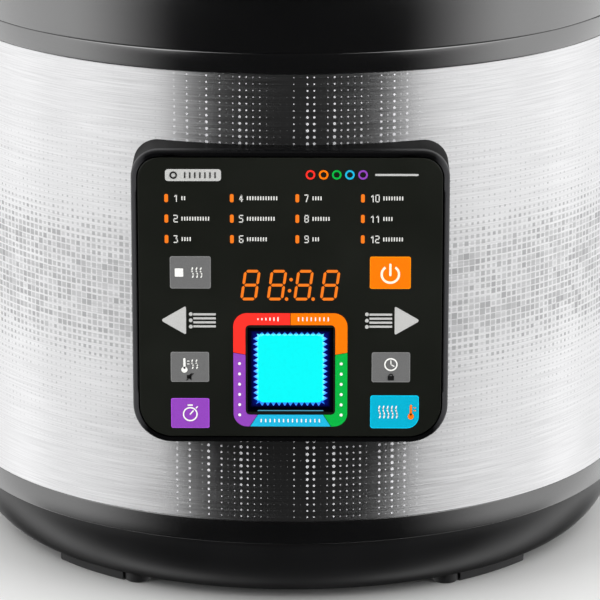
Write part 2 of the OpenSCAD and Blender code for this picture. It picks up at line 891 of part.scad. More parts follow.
// Cast plate with a foot below and a groove for the heating element
module heating_plate() {
  edge = 1.5;
  foot_out = plate_foot_r + plate_foot_w;
  color("#9fa1a3")
    difference() {
      rotate_extrude()
        polygon([[sensor_r + sensor_gap, z_plate_low], [plate_foot_r, z_plate_low],
          [plate_foot_r, z_foot_low], [foot_out, z_foot_low], [foot_out, z_plate_low],
          [plate_r - edge, z_plate_low], [plate_r, z_plate_low + edge],
          [plate_r, z_plate - edge], [plate_r - edge, z_plate],
          [sensor_r + sensor_gap, z_plate]]);
      translate([0, 0, z_plate_low])
        rotate_extrude()
          translate([element_ring_r, 0])
            circle(r = element_tube_r + groove_gap);
    }
}

// Tubular heater set into the plate, with an insulated leg at each end
module heating_element() {
  leg_r = element_tube_r - 0.3;
  knee_r = element_tube_r + groove_gap / 2;
  leg_l = knee_r + 1;
  pin_r = 1.5;
  color("#6e6f70")
    translate([0, 0, z_plate_low]) {
      rotate([0, 0, -90 + (360 - element_span) / 2])
        rotate_extrude(angle = element_span)
          translate([element_ring_r, 0])
            circle(r = element_tube_r);
      terminal_places() {
        sphere(r = knee_r);
        translate([0, 0, -leg_l])
          cylinder(r = leg_r, h = leg_l);
        translate([0, 0, -terminal_l])
          cylinder(r = terminal_r, h = terminal_l - leg_l + eps);
        translate([0, 0, -terminal_l - element_pin_l])
          cylinder(r = pin_r, h = element_pin_l + eps);
      }
    }
}

// Sprung cap that touches the pot through the heating plate
module sensor_cap() {
  clip_r = stem_r + 2;
  clip_t = 1.5;
  low = z_vessel - bracket_drop - sensor_travel - run - clip_t;
  color("#c9cacb")
    rotate_extrude()
      polygon([[0, low], [clip_r, low], [clip_r, low + clip_t], [stem_r, low + clip_t],
        [stem_r, z_plate - sensor_h], [sensor_r, z_plate - sensor_h],
        [sensor_r, z_plate - 1], [sensor_r - 1, z_plate], [0, z_plate]]);
}

// Coil spring that pushes the sensor up
module sensor_spring() {
  wire_r = 0.6;
  coil_r = stem_r + 2.6;
  turns = 6;
  per_turn = 14;
  low = z_vessel - bracket_drop + bracket_sheet + wire_r;
  high = z_plate - sensor_h - wire_r - 0.05;
  n = turns * per_turn;
  color("#8d8f91")
    lead([for (i = [0 : n])
      let (a = 360 * i / per_turn)
      [coil_r * cos(a), coil_r * sin(a), low + (high - low) * i / n]], wire_r, 6);
}

bracket_sheet = 1.2;

// Cup-shaped bracket that hangs the sensor under the vessel
module sensor_bracket() {
  r = sensor_r + 5;
  low = z_vessel - bracket_drop;
  s = bracket_sheet;
  color("#9b9d9f")
    rotate_extrude()
      polygon([[stem_r + 0.4, low], [r + s, low], [r + s, z_vessel - s], [r + 8, z_vessel - s],
        [r + 8, z_vessel], [r, z_vessel], [r, low + s], [stem_r + 0.4, low + s]]);
}

// Switch that opens when the vessel's floor sinks
module pressure_switch() {
  body = [26, 14, 12];
  from = plate_foot_r + plate_foot_w;
  color("#c9bfa0") {
    translate([from, -body[1] / 2, z_vessel - body[2]])
      cube(body);
    for (x = [from + 6, from + 20])
      translate([x - 1.5, -0.4, z_vessel - body[2] - 6])
        cube([3, 0.8, 6 + eps]);
  }
}

// Thermal fuse held under the heating plate
module thermal_fuse() {
  body_r = 2;
  place = (plate_foot_r + plate_foot_w + element_ring_r - element_tube_r) / 2;
  color("#d8d8d4")
    translate([-8, place, z_plate_low - body_r]) {
      rotate([0, 90, 0])
        cylinder(r = body_r, h = 16);
      translate([5, -3, body_r - 0.6])
        cube([6, 6, 0.6]);
    }
}

// Threaded rods between the base's floor and the vessel
module tie_rods() {
  nut_r = 4.5;
  nut_h = 4;
  low = foot_h + base_wall;
  color("#a9abad")
    tie_places() {
      translate([0, 0, low])
        cylinder(r = 2, h = z_vessel - low);
      translate([0, 0, low])
        cylinder(r = nut_r, h = nut_h, $fn = 6);
      translate([0, 0, z_vessel - nut_h])
        cylinder(r = nut_r, h = nut_h, $fn = 6);
    }
}

// ---- Boards, inlet and leads ----

module power_board_corners() {
  inset = 6;
  for (x = [-1, 1], y = [-1, 1])
    translate([x * (power_w / 2 - inset), power_y + y * (power_d / 2 - inset), 0])
      children();
}

module power_board() {
  color("#3f6b3a")
    translate([-power_w / 2, power_y - power_d / 2, power_z])
      cube([power_w, power_d, board_t]);
}

// Relay, transformer, capacitors and terminals on the power board
module power_parts() {
  front = power_y - power_d / 2;
  color("#1f3f78")
    translate([-power_w / 2 + 14, front + 14, z_parts])
      cube([28, 13, 15]);
  color("#3a3a3c")
    translate([-14, front + 12, z_parts])
      cube([24, 22, 16]);
  color("#232327")
    for (x = [20, 33])
      translate([x, front + 24, z_parts])
        cylinder(r = 5, h = 14);
  color("#b58a33")
    translate([-power_w / 2 + 24, power_y, z_parts])
      cube([24, 10, 12]);
  color("#d9d9d2")
    for (x = [-8, 12, 32])
      translate([x, terminal_y, z_parts])
        cube([12, 9, 9]);
}

// Appliance inlet with a flange that follows the drum
module inlet_socket() {
  w = inlet_w + 2 * inlet_wall;
  h = inlet_h + 2 * inlet_wall;
  wing = 9;
  color("#1b1b1c")
    difference() {
      union() {
        intersection() {
          ring(drum_r + fit, inlet_face, inlet_z - h / 2 - 3, h + 6);
          translate([-w / 2 - wing, 0, inlet_z - h])
            cube([w + 2 * wing, 2 * drum_r, 2 * h]);
        }
        intersection() {
          translate([-w / 2, inlet_back - inlet_floor, inlet_z - h / 2])
            cube([w, inlet_depth + inlet_floor + 1, h]);
          translate([0, 0, z_drum])
            cylinder(r = drum_r + flange_t / 2, h = drum_h);
        }
      }
      translate([-inlet_w / 2, inlet_back, inlet_z - inlet_h / 2])
        cube([inlet_w, inlet_depth + 5, inlet_h]);
      for (x = [-pin_pitch, 0, pin_pitch])
        translate([x - 1 - fit, inlet_back - inlet_floor - 1, inlet_z - 2 - fit + (x == 0 ? 3.5 : -2)])
          cube([2 + 2 * fit, inlet_floor + 2, 4 + 2 * fit]);
      inlet_screw_places()
        rod_y(0, 0, 0, 2 * drum_r, screw_r + fit);
    }
}

// Three blades of the inlet, with their tabs behind
module inlet_pins() {
  color("#c8b06a")
    for (x = [-pin_pitch, 0, pin_pitch])
      translate([x - 1, inlet_back - inlet_floor - pin_tab, inlet_z - 2 + (x == 0 ? 3.5 : -2)])
        cube([2, pin_l + inlet_floor + pin_tab, 4]);
}

// Leads from the inlet to the terminals of the power board
module mains_leads() {
  r = 1.4;
  back = inlet_back - inlet_floor - pin_tab;
  for (i = [0 : 2]) {
    x = (i - 1) * pin_pitch;
    goal = [-2 + 20 * i, terminal_y + 4.5, z_parts + 9];
    z0 = inlet_z + (i == 1 ? 3.5 : -2);
    color(["#3a2a20", "#3f7f3a", "#2b5fa8"][i])
      lead([[x, back, z0], [x, back - 1.6, z0], [x, back - 2.2, z0 - 2.5],
        [x, back - 2.2, z0 - 10], [x * 1.1, back - 2.8, z_parts + 22],
        [x * 1.2, back - 12, z_parts + 17], [goal[0], goal[1] + 24, z_parts + 16],
        [goal[0], goal[1] + 10, z_parts + 15.5], [goal[0], goal[1] + 3, z_parts + 14.5],
        [goal[0], goal[1], z_parts + 12], goal], r);
  }
}

// Leads from the power board up to the heating element's pins
module heater_leads() {
  r = 1.4;
  gap_angle = (360 - element_span) / 2;
  pin_low = z_plate_low - terminal_l - element_pin_l;
  for (side = [-1, 1]) {
    top_x = side * element_ring_r * sin(gap_angle);
    top_y = -element_ring_r * cos(gap_angle);
    edge = power_y - power_d / 2;
    climb = pin_low - z_parts;
    color("#b8472c")
      lead([[top_x, top_y, pin_low], [top_x, top_y, pin_low - 0.09 * climb],
        [top_x, top_y + 1, pin_low - 0.17 * climb], [top_x * 0.9, top_y + 4, z_parts + 0.64 * climb],
        [side * 24, edge + 5, z_parts + 0.4 * climb], [side * 24, edge + 6, z_parts + 0.17 * climb],
        [side * 24, edge + 6, z_parts]], r);
  }
}

// Flat cable from the control board, through the drum's window, to the power board
module ribbon_cable() {
  t = 1;
  w = 14;
  top = panel_low + 40;
  back = board_front - board_t;
  down = drum_r - trim_depth - 4;
  low = z_parts + 22;
  goal = -(power_y - power_d / 2 + 4);
  color("#8b8d90")
    translate([12 - w / 2, 0, 0])
      rotate([90, 0, 90])
        linear_extrude(w)
          polygon([[-back, top], [-down + t, top], [-down + t, low + t], [-goal + t, low + t],
            [-goal + t, z_parts], [-goal, z_parts], [-goal, low], [-down, low],
            [-down, top - t], [-back, top - t]]);
}

// ---- Control panel ----

module post_places() {
  for (x = [-post_x, post_x], z = [panel_low + post_edge, panel_low + panel_h - post_edge])
    translate([x, 0, z])
      children();
}

// Wall of the panel's housing, from the drum to the start of its rounded edge
module panel_wall_ring() {
  depth = drum_r * 0.8;
  difference() {
    translate([0, 0, panel_low])
      facing_front(depth, panel_front - panel_edge_r - depth)
        panel_outline(0);
    translate([0, 0, panel_low]) {
      facing_front(0, inner_front)
        panel_outline(panel_wall);
      facing_front(inner_front - 1, front_wall + 2)
        panel_outline(ledge);
    }
    drum_cut();
  }
}

// Front of the housing: a rounded edge, a recess for the front plate and a window behind it
module panel_frame() {
  layers = 4;
  translate([0, 0, panel_low])
    difference() {
      hull()
        for (i = [0 : layers])
          facing_front(panel_front - panel_edge_r * (1 - sin(90 * i / layers)) - eps, eps)
            panel_outline(panel_edge_r * (1 - cos(90 * i / layers)));
      facing_front(0, inner_front)
        panel_outline(panel_wall);
      facing_front(panel_front - front_t, front_t + 1)
        panel_outline(frame_w);
      facing_front(inner_front - 1, front_wall + 2)
        panel_outline(ledge);
    }
}

// Room that the drum takes behind the panel
module drum_cut() {
  translate([0, 0, panel_low - 1])
    cylinder(r = drum_r + fit, h = panel_h + 2);
}

// Plastic housing on the drum's face, with bosses for its own and the board's screws
module panel_housing() {
  boss_r = 4;
  post_r = 3.2;
  color("#2c2d2b")
    difference() {
      union() {
        panel_wall_ring();
        panel_frame();
        difference() {
          bezel_screw_places()
            rod_y(0, 0, -inner_front - 1, -drum_r * 0.8, boss_r);
          drum_cut();
        }
        post_places()
          rod_y(0, 0, -inner_front - 1, -board_front, post_r);
      }
      bezel_screw_places()
        rod_y(0, 0, -inner_front, 0, screw_r);
      post_places()
        rod_y(0, 0, -inner_front - 1, 0, screw_r);
    }
}

// Black front plate with a square well for the status light
module front_plate() {
  inset = frame_w + groove_w;
  color("#1e201b")
    translate([0, 0, panel_low])
      difference() {
        facing_front(panel_front - front_t, front_t)
          panel_outline(inset);
        facing_front(panel_front - front_t - 1, front_t + 2)
          well_outline(0);
      }
}

// Outline of the square well, drawn in by an inset
module well_outline(inset) {
  rim = 2.2;
  w = lens_w + 2 * rim;
  h = lens_h + 2 * rim;
  translate([-w / 2 + inset, colour_ring_mid - h / 2 + inset])
    square([w - 2 * inset, h - 2 * inset]);
}

// Circuit board behind the front plate
module control_board() {
  w = panel_w - 2 * (panel_wall + 1.5);
  color("#2f5f38")
    difference() {
      translate([-w / 2, -board_front, panel_low + board_edge])
        cube([w, board_t, panel_h - 2 * board_edge]);
      post_places()
        rod_y(0, 0, -board_front - 1, -board_front + board_t + 1, screw_r + fit);
    }
}

// Numeric display module between the board and the front plate
module display_module() {
  w = 4 * digit_pitch + 6;
  color("#26262a")
    translate([-w / 2, -panel_front + front_t + 0.2, panel_low + digit_low - 3])
      cube([w, board_gap - 0.2, digit_h + 6]);
}

// Springs that carry the touch to the board, one behind each key
module touch_springs() {
  outer = 3;
  inner = 2.3;
  x = key_edge - key_w / 2;
  color("#b9babc")
    for (side = [-1, 1], low = [key_top_low, key_mid_low, key_low])
      translate([side * x, -board_front, panel_low + max(low + key_h / 2, board_edge + outer + fit)])
        rotate([90, 0, 0])
          difference() {
            cylinder(r = outer, h = board_gap);
            translate([0, 0, -1])
              cylinder(r = inner, h = board_gap + 2);
          }
}

// One segment of a digit: a bar with pointed ends, from one corner to the next
function slanted(p) = [p[0] + p[1] * tan(digit_slant), p[1]];

module segment(from, to) {
  half = 0.55;
  gap = 0.3;
  d = unit(to - from);
  n = [-d[1], d[0]];
  a = from + d * gap;
  b = to - d * gap;
  polygon([for (p = [a, a + d * half + n * half, b - d * half + n * half,
    b, b - d * half - n * half, a + d * half - n * half]) slanted(p)]);
}

// Four slanted digits with all their segments, and the two dots between them
module digits() {
  w = 5.5;
  h = digit_h;
  dot_r = 0.7;
  corners = [[0, 0], [w, 0], [0, h / 2], [w, h / 2], [0, h], [w, h]];
  bars = [[0, 1], [2, 3], [4, 5], [0, 2], [2, 4], [1, 3], [3, 5]];
  left = -2 * digit_pitch + (digit_pitch - w) / 2 - h * tan(digit_slant) / 2;
  color("#f08232")
    printed()
      translate([0, digit_low]) {
        for (i = [0 : 3], bar = bars)
          translate([left + i * digit_pitch, 0])
            segment(corners[bar[0]], corners[bar[1]]);
        for (z = [h * 0.3, h * 0.7])
          translate([left + 2 * digit_pitch - (digit_pitch - w) / 2 + z * tan(digit_slant), z])
            circle(r = dot_r, $fn = 24);
        for (i = [2, 3])
          translate([left + i * digit_pitch - (digit_pitch - w) / 2 - dot_r, 0])
            circle(r = dot_r, $fn = 24);
      }
}

module led_place(col, row) {
  translate([led_left + col * led_pitch_x, led_top - row * led_pitch_z])
    children();
}

// Light windows of the twelve programmes
module program_lights() {
  color("#ff801e")
    printed()
      for (col = [0 : led_cols - 1], row = [0 : led_rows - 1])
        led_place(col, row)
          translate([-led_w / 2, -led_h / 2])
            square([led_w, led_h]);
}

// Bars beside the windows, in the place of the programmes' names
module program_marks() {
  color("#dcdcd8")
    printed()
      for (col = [0 : led_cols - 1], row = [0 : led_rows - 1])
        led_place(col, row)
          translate([led_w / 2 + mark_gap, -mark_h / 2])
            square([mark_w[col][row], mark_h]);
}

// Arrows at both sides: a triangle, four lines and three dots each
module arrow_marks() {
  tip = 51.9;
  base = 41.3;
  line_l = 9;
  line_in = 31.7;
  line_t = 0.85;
  line_pitch = 1.66;
  dot_r = 0.75;
  color("#cfcfcd")
    printed()
      translate([0, arrow_mid])
        for (side = [-1, 1]) {
          left = side > 0 ? line_in : -line_in - line_l + 1;
          polygon([[side * base, -arrow_h / 2], [side * tip, 0], [side * base, arrow_h / 2]]);
          for (i = [0 : 3])
            translate([left, (i - 1.5) * line_pitch - line_t / 2])
              square([line_l - 1, line_t]);
          for (i = [-1 : 1])
            translate([left - dot_r, i * 1.5 * line_pitch])
              circle(r = dot_r, $fn = 24);
        }
}

// A key's plate with its outer edge at the given side
module key(side, low, w, h, corner_r) {
  translate([side * (key_edge - w / 2), low])
    polygon(concat(
      arc_points(w / 2 - corner_r, corner_r, corner_r, -90, 0),
      arc_points(w / 2 - 0.8, h - 0.8, 0.8, 0, 90),
      arc_points(-w / 2 + 0.8, h - 0.8, 0.8, 90, 180),
      arc_points(-w / 2 + 0.8, 0.8, 0.8, 180, 270)));
}

// The six touch keys
module touch_keys() {
  printed() {
    color("#767676") {
      key(-1, key_top_low, key_top_w, key_top_h, 0.8);
      key(-1, key_mid_low, key_w, key_h, 0.8);
      key(1, key_mid_low, key_w, key_h, 0.8);
    }
    color("#ff8000")
      key(1, key_top_low, key_top_w, key_top_h, 0.8);
    color("#9b48c8")
      key(-1, key_low, key_w, key_h, 0.8);
    color("#00b5e2")
      translate([key_warm_w - key_w - 0.5, 0])
        key(1, key_low, key_warm_w, key_warm_h, key_warm_r);
  }
}

// A share of the square ring, cut by the outline of its region
module ring_share(region) {
  in_w = colour_ring_w - 2 * colour_band;
  in_h = colour_ring_h - 2 * colour_band;
  translate([0, colour_ring_mid])
    intersection() {
      difference() {
        translate([0, -colour_ring_h / 2])
          polygon(plate_points(colour_ring_w, colour_ring_h, 5.5, 5.5));
        translate([-in_w / 2, -in_h / 2])
          square([in_w, in_h]);
      }
      polygon(region);
    }
}

// Five coloured shares of the ring around the status light
module colour_ring() {
  g = 0.3;
  x = colour_ring_w;
  side_z = 7.3;
  low_out = 15;
  low_in = 13;
  y_in = -colour_ring_h / 2 + colour_band;
  printed() {
    for (side = [0, 1])
      mirror([side, 0]) {
        color(side == 0 ? "#ff8000" : "#ff3830")
          ring_share([[g, 0], [x, side_z + g], [x, x], [g, x]]);
        color(side == 0 ? "#03af41" : "#9b48c8")
          ring_share([[x, side_z - g - 1], [x, -x], [low_out + g, -colour_ring_h / 2 - 1],
            [low_in + g, y_in + 1], [low_in + g, 0]]);
      }
    color("#1eb4dc")
      ring_share([[-low_out, -colour_ring_h / 2 - 1], [low_out, -colour_ring_h / 2 - 1],
        [low_in, y_in + 1], [-low_in, y_in + 1]]);
  }
}

// Dark frame that lines the square well
module status_well() {
  color("#00005a")
    translate([0, 0, panel_low])
      difference() {
        facing_front(panel_front - front_t, front_t - 0.3)
          well_outline(fit);
        facing_front(panel_front - front_t + 0.6, front_t)
          well_outline(1.2);
      }
}

// Lit square lens with a sawtooth edge
module status_lens() {
  tooth = 0.9;
  n = lens_teeth;
  w = lens_w / 2;
  h = lens_h / 2;
  color("#00ffff")
    translate([0, 0, panel_low + colour_ring_mid])
      facing_front(panel_front - front_t + 0.6, front_t - 0.9)
        polygon(concat(
          [for (i = [0 : 2 * n - 1]) [-w + i * w / n, -h + (i % 2) * tooth]],
          [for (i = [0 : 2 * n - 1]) [w - (i % 2) * tooth, -h + i * h / n]],
          [for (i = [0 : 2 * n - 1]) [w - i * w / n, h - (i % 2) * tooth]],
          [for (i = [0 : 2 * n - 1]) [-w + (i % 2) * tooth, h - i * h / n]]));
}

// ---- Condensation cup ----

// Box let into the drum's back, open to the back, with a flange on the steel
module cup_bracket() {
  w = bracket_w;
  h = bracket_h;
  drain_r = 3;
  color("#1a1a1b")
    difference() {
      union() {
        intersection() {
          translate([-w / 2, bracket_front, bracket_low])
            cube([w, drum_r, h]);
          translate([0, 0, z_drum])
            cylinder(r = drum_r + flange_t, h = drum_h);
        }
        intersection() {
          ring(drum_r + fit, drum_r + flange_t, bracket_low - flange_w, h + 2 * flange_w);
          translate([-w / 2 - flange_w, 0, z_drum])
            cube([w + 2 * flange_w, 2 * drum_r, drum_h]);
        }
      }
      translate([-w / 2 + bracket_wall, bracket_front + bracket_wall, bracket_low + bracket_wall])
        cube([w - 2 * bracket_wall, drum_r, h - 2 * bracket_wall]);
      translate([0, drum_r - collar_wall - 1.3, bracket_low + h / 2])
        cylinder(r = drain_r, h = h);
    }
}

// Outline of the cup seen from above, drawn in by an inset
module cup_outline(inset) {
  bulge = 2;
  w = cup_w / 2 - inset;
  polygon([[-w, cup_front + inset], [w, cup_front + inset], [w, cup_back - bulge - 1.5 - inset],
    [w - 1.5, cup_back - bulge - inset], [w / 2, cup_back - bulge / 3 - inset],
    [0, cup_back - inset], [-w / 2, cup_back - bulge / 3 - inset],
    [-w + 1.5, cup_back - bulge - inset], [-w, cup_back - bulge - 1.5 - inset]]);
}

module condensation_cup() {
  color("#d4d8da")
    translate([0, 0, cup_top - cup_h])
      difference() {
        linear_extrude(cup_h)
          cup_outline(0);
        translate([0, 0, cup_wall])
          linear_extrude(cup_h)
            cup_outline(cup_wall);
      }
}

// ---- Pot ----

// Cooking pot with a rounded floor corner and a flat rim
module inner_pot() {
  in_r = pot_r - pot_t;
  low = z_pot_floor;
  corner = pot_corner_r;
  lip_low = z_pot_rim - pot_rim_t;
  color("#b4b5b6")
    rotate_extrude()
      polygon(concat(
        [[0, low]],
        arc_points(pot_r - corner, low + corner, corner, -90, 0, 8),
        [[pot_r, lip_low], [pot_lip_r - 0.5, lip_low], [pot_lip_r, lip_low + 0.5],
        [pot_lip_r, z_pot_rim - 0.5], [pot_lip_r - 0.5, z_pot_rim], [in_r, z_pot_rim]],
        arc_points(pot_r - corner, low + corner, corner - pot_t, 0, -90, 8),
        [[0, low + pot_t]]));
}

// ---- Lid ----

// Silicone ring between the pot's rim and the lid, with a groove for its rack
module sealing_ring() {
  in_r = pot_r - seal_inset;
  out_r = skirt_in_r - run;
  groove_low = z_seal + 0.3 * seal_h;
  groove_h = 0.4 * seal_h;
  groove_r = in_r + 0.65 * (out_r - in_r);
  color("#d9dad6")
    rotate_extrude()
      difference() {
        translate([in_r, z_seal])
          square([out_r - in_r, seal_h]);
        translate([in_r - 1, groove_low])
          square([groove_r - in_r + 1, groove_h]);
      }
}

// Steel hoop in the ring's groove, on short posts under the lid
module gasket_rack() {
  in_r = pot_r - seal_inset;
  out_r = skirt_in_r - run;
  low = z_seal + 0.3 * seal_h + run;
  h = 0.4 * seal_h - 2 * run;
  hoop_out = in_r + 0.65 * (out_r - in_r) - run;
  hoop_in = in_r - 2.6;
  post_r = 1;
  color("#b7b8ba") {
    ring(hoop_in, hoop_out, low, h);
    for (a = [0 : 60 : 300])
      rotate([0, 0, a])
        translate([in_r - 1.4, 0, low + h - eps])
          cylinder(r = post_r, h = z_lid - low - h + eps);
  }
}

module steam_place() {
  rotate([0, 0, 90])
    translate([valve_ring_r, 0, 0])
      children();
}

module float_place() {
  rotate([0, 0, 90 - float_angle])
    translate([valve_ring_r, 0, 0])
      children();
}

module lid_screw_places() {
  for (a = [0 : 90 : 270])
    rotate([0, 0, a + 45])
      translate([lid_screw_ring_r, 0, 0])
        children();
}

// Inner steel lid: raised middle, skirt and locking lugs
module lid_plate() {
  slope = 8;
  color("#c8c9cb")
    difference() {
      union() {
        rotate_extrude()
          polygon([[0, z_lid_middle], [lid_middle_r, z_lid_middle], [lid_middle_r + slope, z_lid],
            [skirt_in_r, z_lid], [skirt_in_r, z_skirt], [skirt_r, z_skirt],
            [skirt_r, z_lid + lid_t], [lid_middle_r + slope + 1, z_lid + lid_t],
            [lid_middle_r + 1, z_middle_top], [0, z_middle_top]]);
        for (i = [0 : lug_n - 1])
          ring_sector(skirt_in_r + lid_t / 2, lug_r, z_lug, lug_t,
            i * 360 / lug_n - lug_angle / 2, lug_angle);
      }
      steam_place()
        translate([0, 0, z_lid_middle - 1])
          cylinder(r = pipe_r + fit, h = lid_t + 2);
      float_place()
        translate([0, 0, z_lid_middle - 1])
          cylinder(r = float_r + 0.4, h = lid_t + 2);
      lid_screw_places()
        translate([0, 0, z_lid_middle - 1])
          cylinder(r = screw_r + fit, h = lid_t + 2);
    }
}

plinth_r = 19;
plinth_top = dome_z(valve_ring_r - knob_r) + 0.8;

// Glossy outer lid with bosses for its screws and a plinth for the steam valve
module lid_cover() {
  boss_r = 5;
  wall = lid_cover_wall;
  shoulder = 3;
  color("#0d0d0e")
    difference() {
      union() {
        rotate_extrude()
          difference() {
            dome_section(0);
            dome_section(wall);
          }
        lid_screw_places()
          translate([0, 0, z_middle_top])
            cylinder(r = boss_r, h = dome_z(lid_screw_ring_r) - wall / 2 - z_middle_top);
        steam_place()
          translate([0, 0, dome_z(valve_ring_r + plinth_r) - wall / 2])
            cylinder(r = plinth_r, h = plinth_top - dome_z(valve_ring_r + plinth_r) + wall / 2);
      }
      steam_place()
        translate([0, 0, z_middle_top])
          cylinder(r = pipe_r + 0.5, h = cover_h);
      float_place()
        translate([0, 0, z_middle_top])
          cylinder(r = float_head_r + 0.5, h = cover_h);
      lid_screw_places()
        translate([0, 0, z_middle_top - 1])
          cylinder(r = screw_r, h = 11);
    }
}

// Section of the domed lid, drawn in by an inset
module dome_section(inset) {
  intersection() {
    translate([0, z_cover_top - dome_r])
      circle(r = dome_r - inset, $fn = 720);
    translate([0, z_cover - (inset > 0 ? 1 : 0)])
      square([cover_out_r - inset, cover_h + 2]);
  }
}

// Arched grip across the lid
module lid_handle() {
  base_z = z_cover_top - 0.5;
  top_z = z_cover_top + grip_h;
  half = grip_l / 2;
  lean = 16;
  gap_half = grip_gap_l / 2;
  gap_h = grip_h - grip_t;
  color("#131314")
    difference() {
      translate([0, grip_w / 2, 0])
        rotate([90, 0, 0])
          linear_extrude(grip_w)
            polygon(concat(
              [[-half, dome_z(half) - 1], [half, dome_z(half) - 1]],
              arc_points(half - lean - 8, top_z - 12, 12, 30, 90),
              arc_points(-half + lean + 8, top_z - 12, 12, 90, 150)));
      translate([0, 0, z_cover_top - dome_r])
        rotate_extrude()
          intersection() {
            circle(r = dome_r + fit, $fn = 720);
            translate([0, 0])
              square([cover_out_r, dome_r + 2]);
          }
      translate([0, grip_w / 2 + 1, 0])
        rotate([90, 0, 0])
          linear_extrude(grip_w + 2)
            polygon(concat(
              [[-gap_half, z_cover_top - 8], [gap_half, z_cover_top - 8]],
              arc_points(gap_half - 6, z_cover_top + gap_h - 6, 6, 0, 90),
              arc_points(-gap_half + 6, z_cover_top + gap_h - 6, 6, 90, 180)));
    }
}

// Screws from the steel lid into the cover's bosses
module lid_screws() {
  color("#a5a5a7")
    lid_screw_places()
      translate([0, 0, z_lid_middle])
        small_screw(lid_t + 8);
}

z_pipe_top = plinth_top + 11;

// Tube that lets the steam out, with a collar on the steel lid
module steam_pipe() {
  seat_r = 8;
  seat_t = 2;
  below = 8;
  color("#bfc0c2")
    steam_place()
      difference() {
        union() {
          translate([0, 0, z_lid_middle - below])
            cylinder(r = pipe_r, h = z_pipe_top - z_lid_middle + below);
          translate([0, 0, z_middle_top])
            cylinder(r = seat_r, h = seat_t);
        }
        translate([0, 0, z_lid_middle - below - 1])
          cylinder(r = pipe_bore_r, h = z_pipe_top - z_lid_middle + below + 2);
      }
}

module pipe_nut() {
  nut_h = 4;
  color("#b5b6b8")
    steam_place()
      translate([0, 0, z_lid_middle - nut_h])
        difference() {
          cylinder(r = 8, h = nut_h, $fn = 6);
          translate([0, 0, -1])
            cylinder(r = pipe_r + 0.05, h = nut_h + 2);
        }
}

z_valve = plinth_top + 0.5;

// Steel weight that closes the pipe's top
module valve_weight() {
  bore_r = pipe_r + run;
  roof = z_pipe_top + run;
  color("#a4a6a8")
    steam_place()
      translate([0, 0, 0])
        rotate_extrude()
          polygon([[bore_r, z_valve], [weight_r, z_valve], [weight_r, roof + 2.5],
            [0, roof + 2.5], [0, roof], [bore_r, roof]]);
}

// Plastic knob around the weight, with a finger tab
module valve_knob() {
  tab_w = 12;
  tab_h = 8;
  color("#1a1a1b")
    steam_place()
      difference() {
        union() {
          translate([0, 0, z_valve])
            rotate_extrude()
              polygon([[0, 0], [knob_r - 1, 0], [knob_r, 1], [knob_r, knob_h - 4],
                [knob_r - 3, knob_h], [0, knob_h]]);
          translate([0, -tab_w / 2, z_valve + 1])
            cube([knob_r + tab_l, tab_w, tab_h]);
        }
        translate([0, 0, z_valve - 1])
          cylinder(r = weight_r + fit, h = z_pipe_top + run + 2.5 + fit - z_valve + 1);
        translate([knob_r + tab_l, 0, z_valve + tab_h + 12])
          rotate([90, 0, 0])
            cylinder(r = 14, h = 2 * tab_w, center = true);
      }
}

float_head_r = 4;
float_low = z_lid_middle - float_rise - 4;

// Pin that rises and shows that there is pressure
module float_pin() {
  top = dome_z(valve_ring_r) - 0.4;
  color("#c23a2e")
    float_place()
      rotate_extrude()
        polygon([[0, float_low], [float_r + 3.2, float_low], [float_r + 3.2, float_low + 1.2],
          [float_r, float_low + 1.2], [float_r, top - 4], [float_head_r, top - 4],
          [float_head_r, top - 0.5], [float_head_r - 0.5, top], [0, top]]);
}

module float_seal() {
  color("#d9dad6")
    float_place()
      ring(float_r, float_r + 3, float_low + 1.2, 2);
}

// Perforated cap that keeps food out of the steam pipe
module inlet_shield() {
  wall = 1;
  slot_w = 2.5;
  top = z_lid_middle - run;
  color("#c2c3c5")
    steam_place()
      difference() {
        translate([0, 0, top - shield_h])
          cylinder(r = shield_r, h = shield_h);
        translate([0, 0, top - shield_h + wall])
          cylinder(r = shield_r - wall, h = shield_h);
        for (a = [0 : 30 : 330])
          rotate([0, 0, a])
            translate([shield_r - 2 * wall, -slot_w / 2, top - shield_h + 2.5])
              cube([3 * wall, slot_w, shield_h - 6]);
        for (a = [0 : 60 : 300])
          rotate([0, 0, a])
            translate([shield_r / 2, 0, top - shield_h - 1])
              cylinder(r = 1.8, h = wall + 2);
      }
}

feet();
bottom_cover();
base_bowl();
lower_ring();
steel_drum();
upper_band();
collar();
handle_left();
handle_right();
handle_screws();
small_screws();
vessel();
lock_ring();
lock_rivets();
spring_plate();
heating_plate();
heating_element();
sensor_cap();
sensor_spring();
sensor_bracket();
pressure_switch();
thermal_fuse();
tie_rods();
power_board();
power_parts();
inlet_socket();
inlet_pins();
mains_leads();
heater_leads();
ribbon_cable();
panel_housing();
front_plate();
control_board();
display_module();
touch_springs();
digits();
program_lights();
program_marks();
arrow_marks();
touch_keys();
colour_ring();
status_well();
status_lens();
cup_bracket();
condensation_cup();
inner_pot();
sealing_ring();
gasket_rack();
lid_plate();
lid_cover();
lid_handle();
lid_screws();
steam_pipe();
pipe_nut();
valve_weight();
valve_knob();
float_pin();
float_seal();
inlet_shield();
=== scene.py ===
"""Looks of the electric pressure cooker, laid out as an add-on and run as a script."""

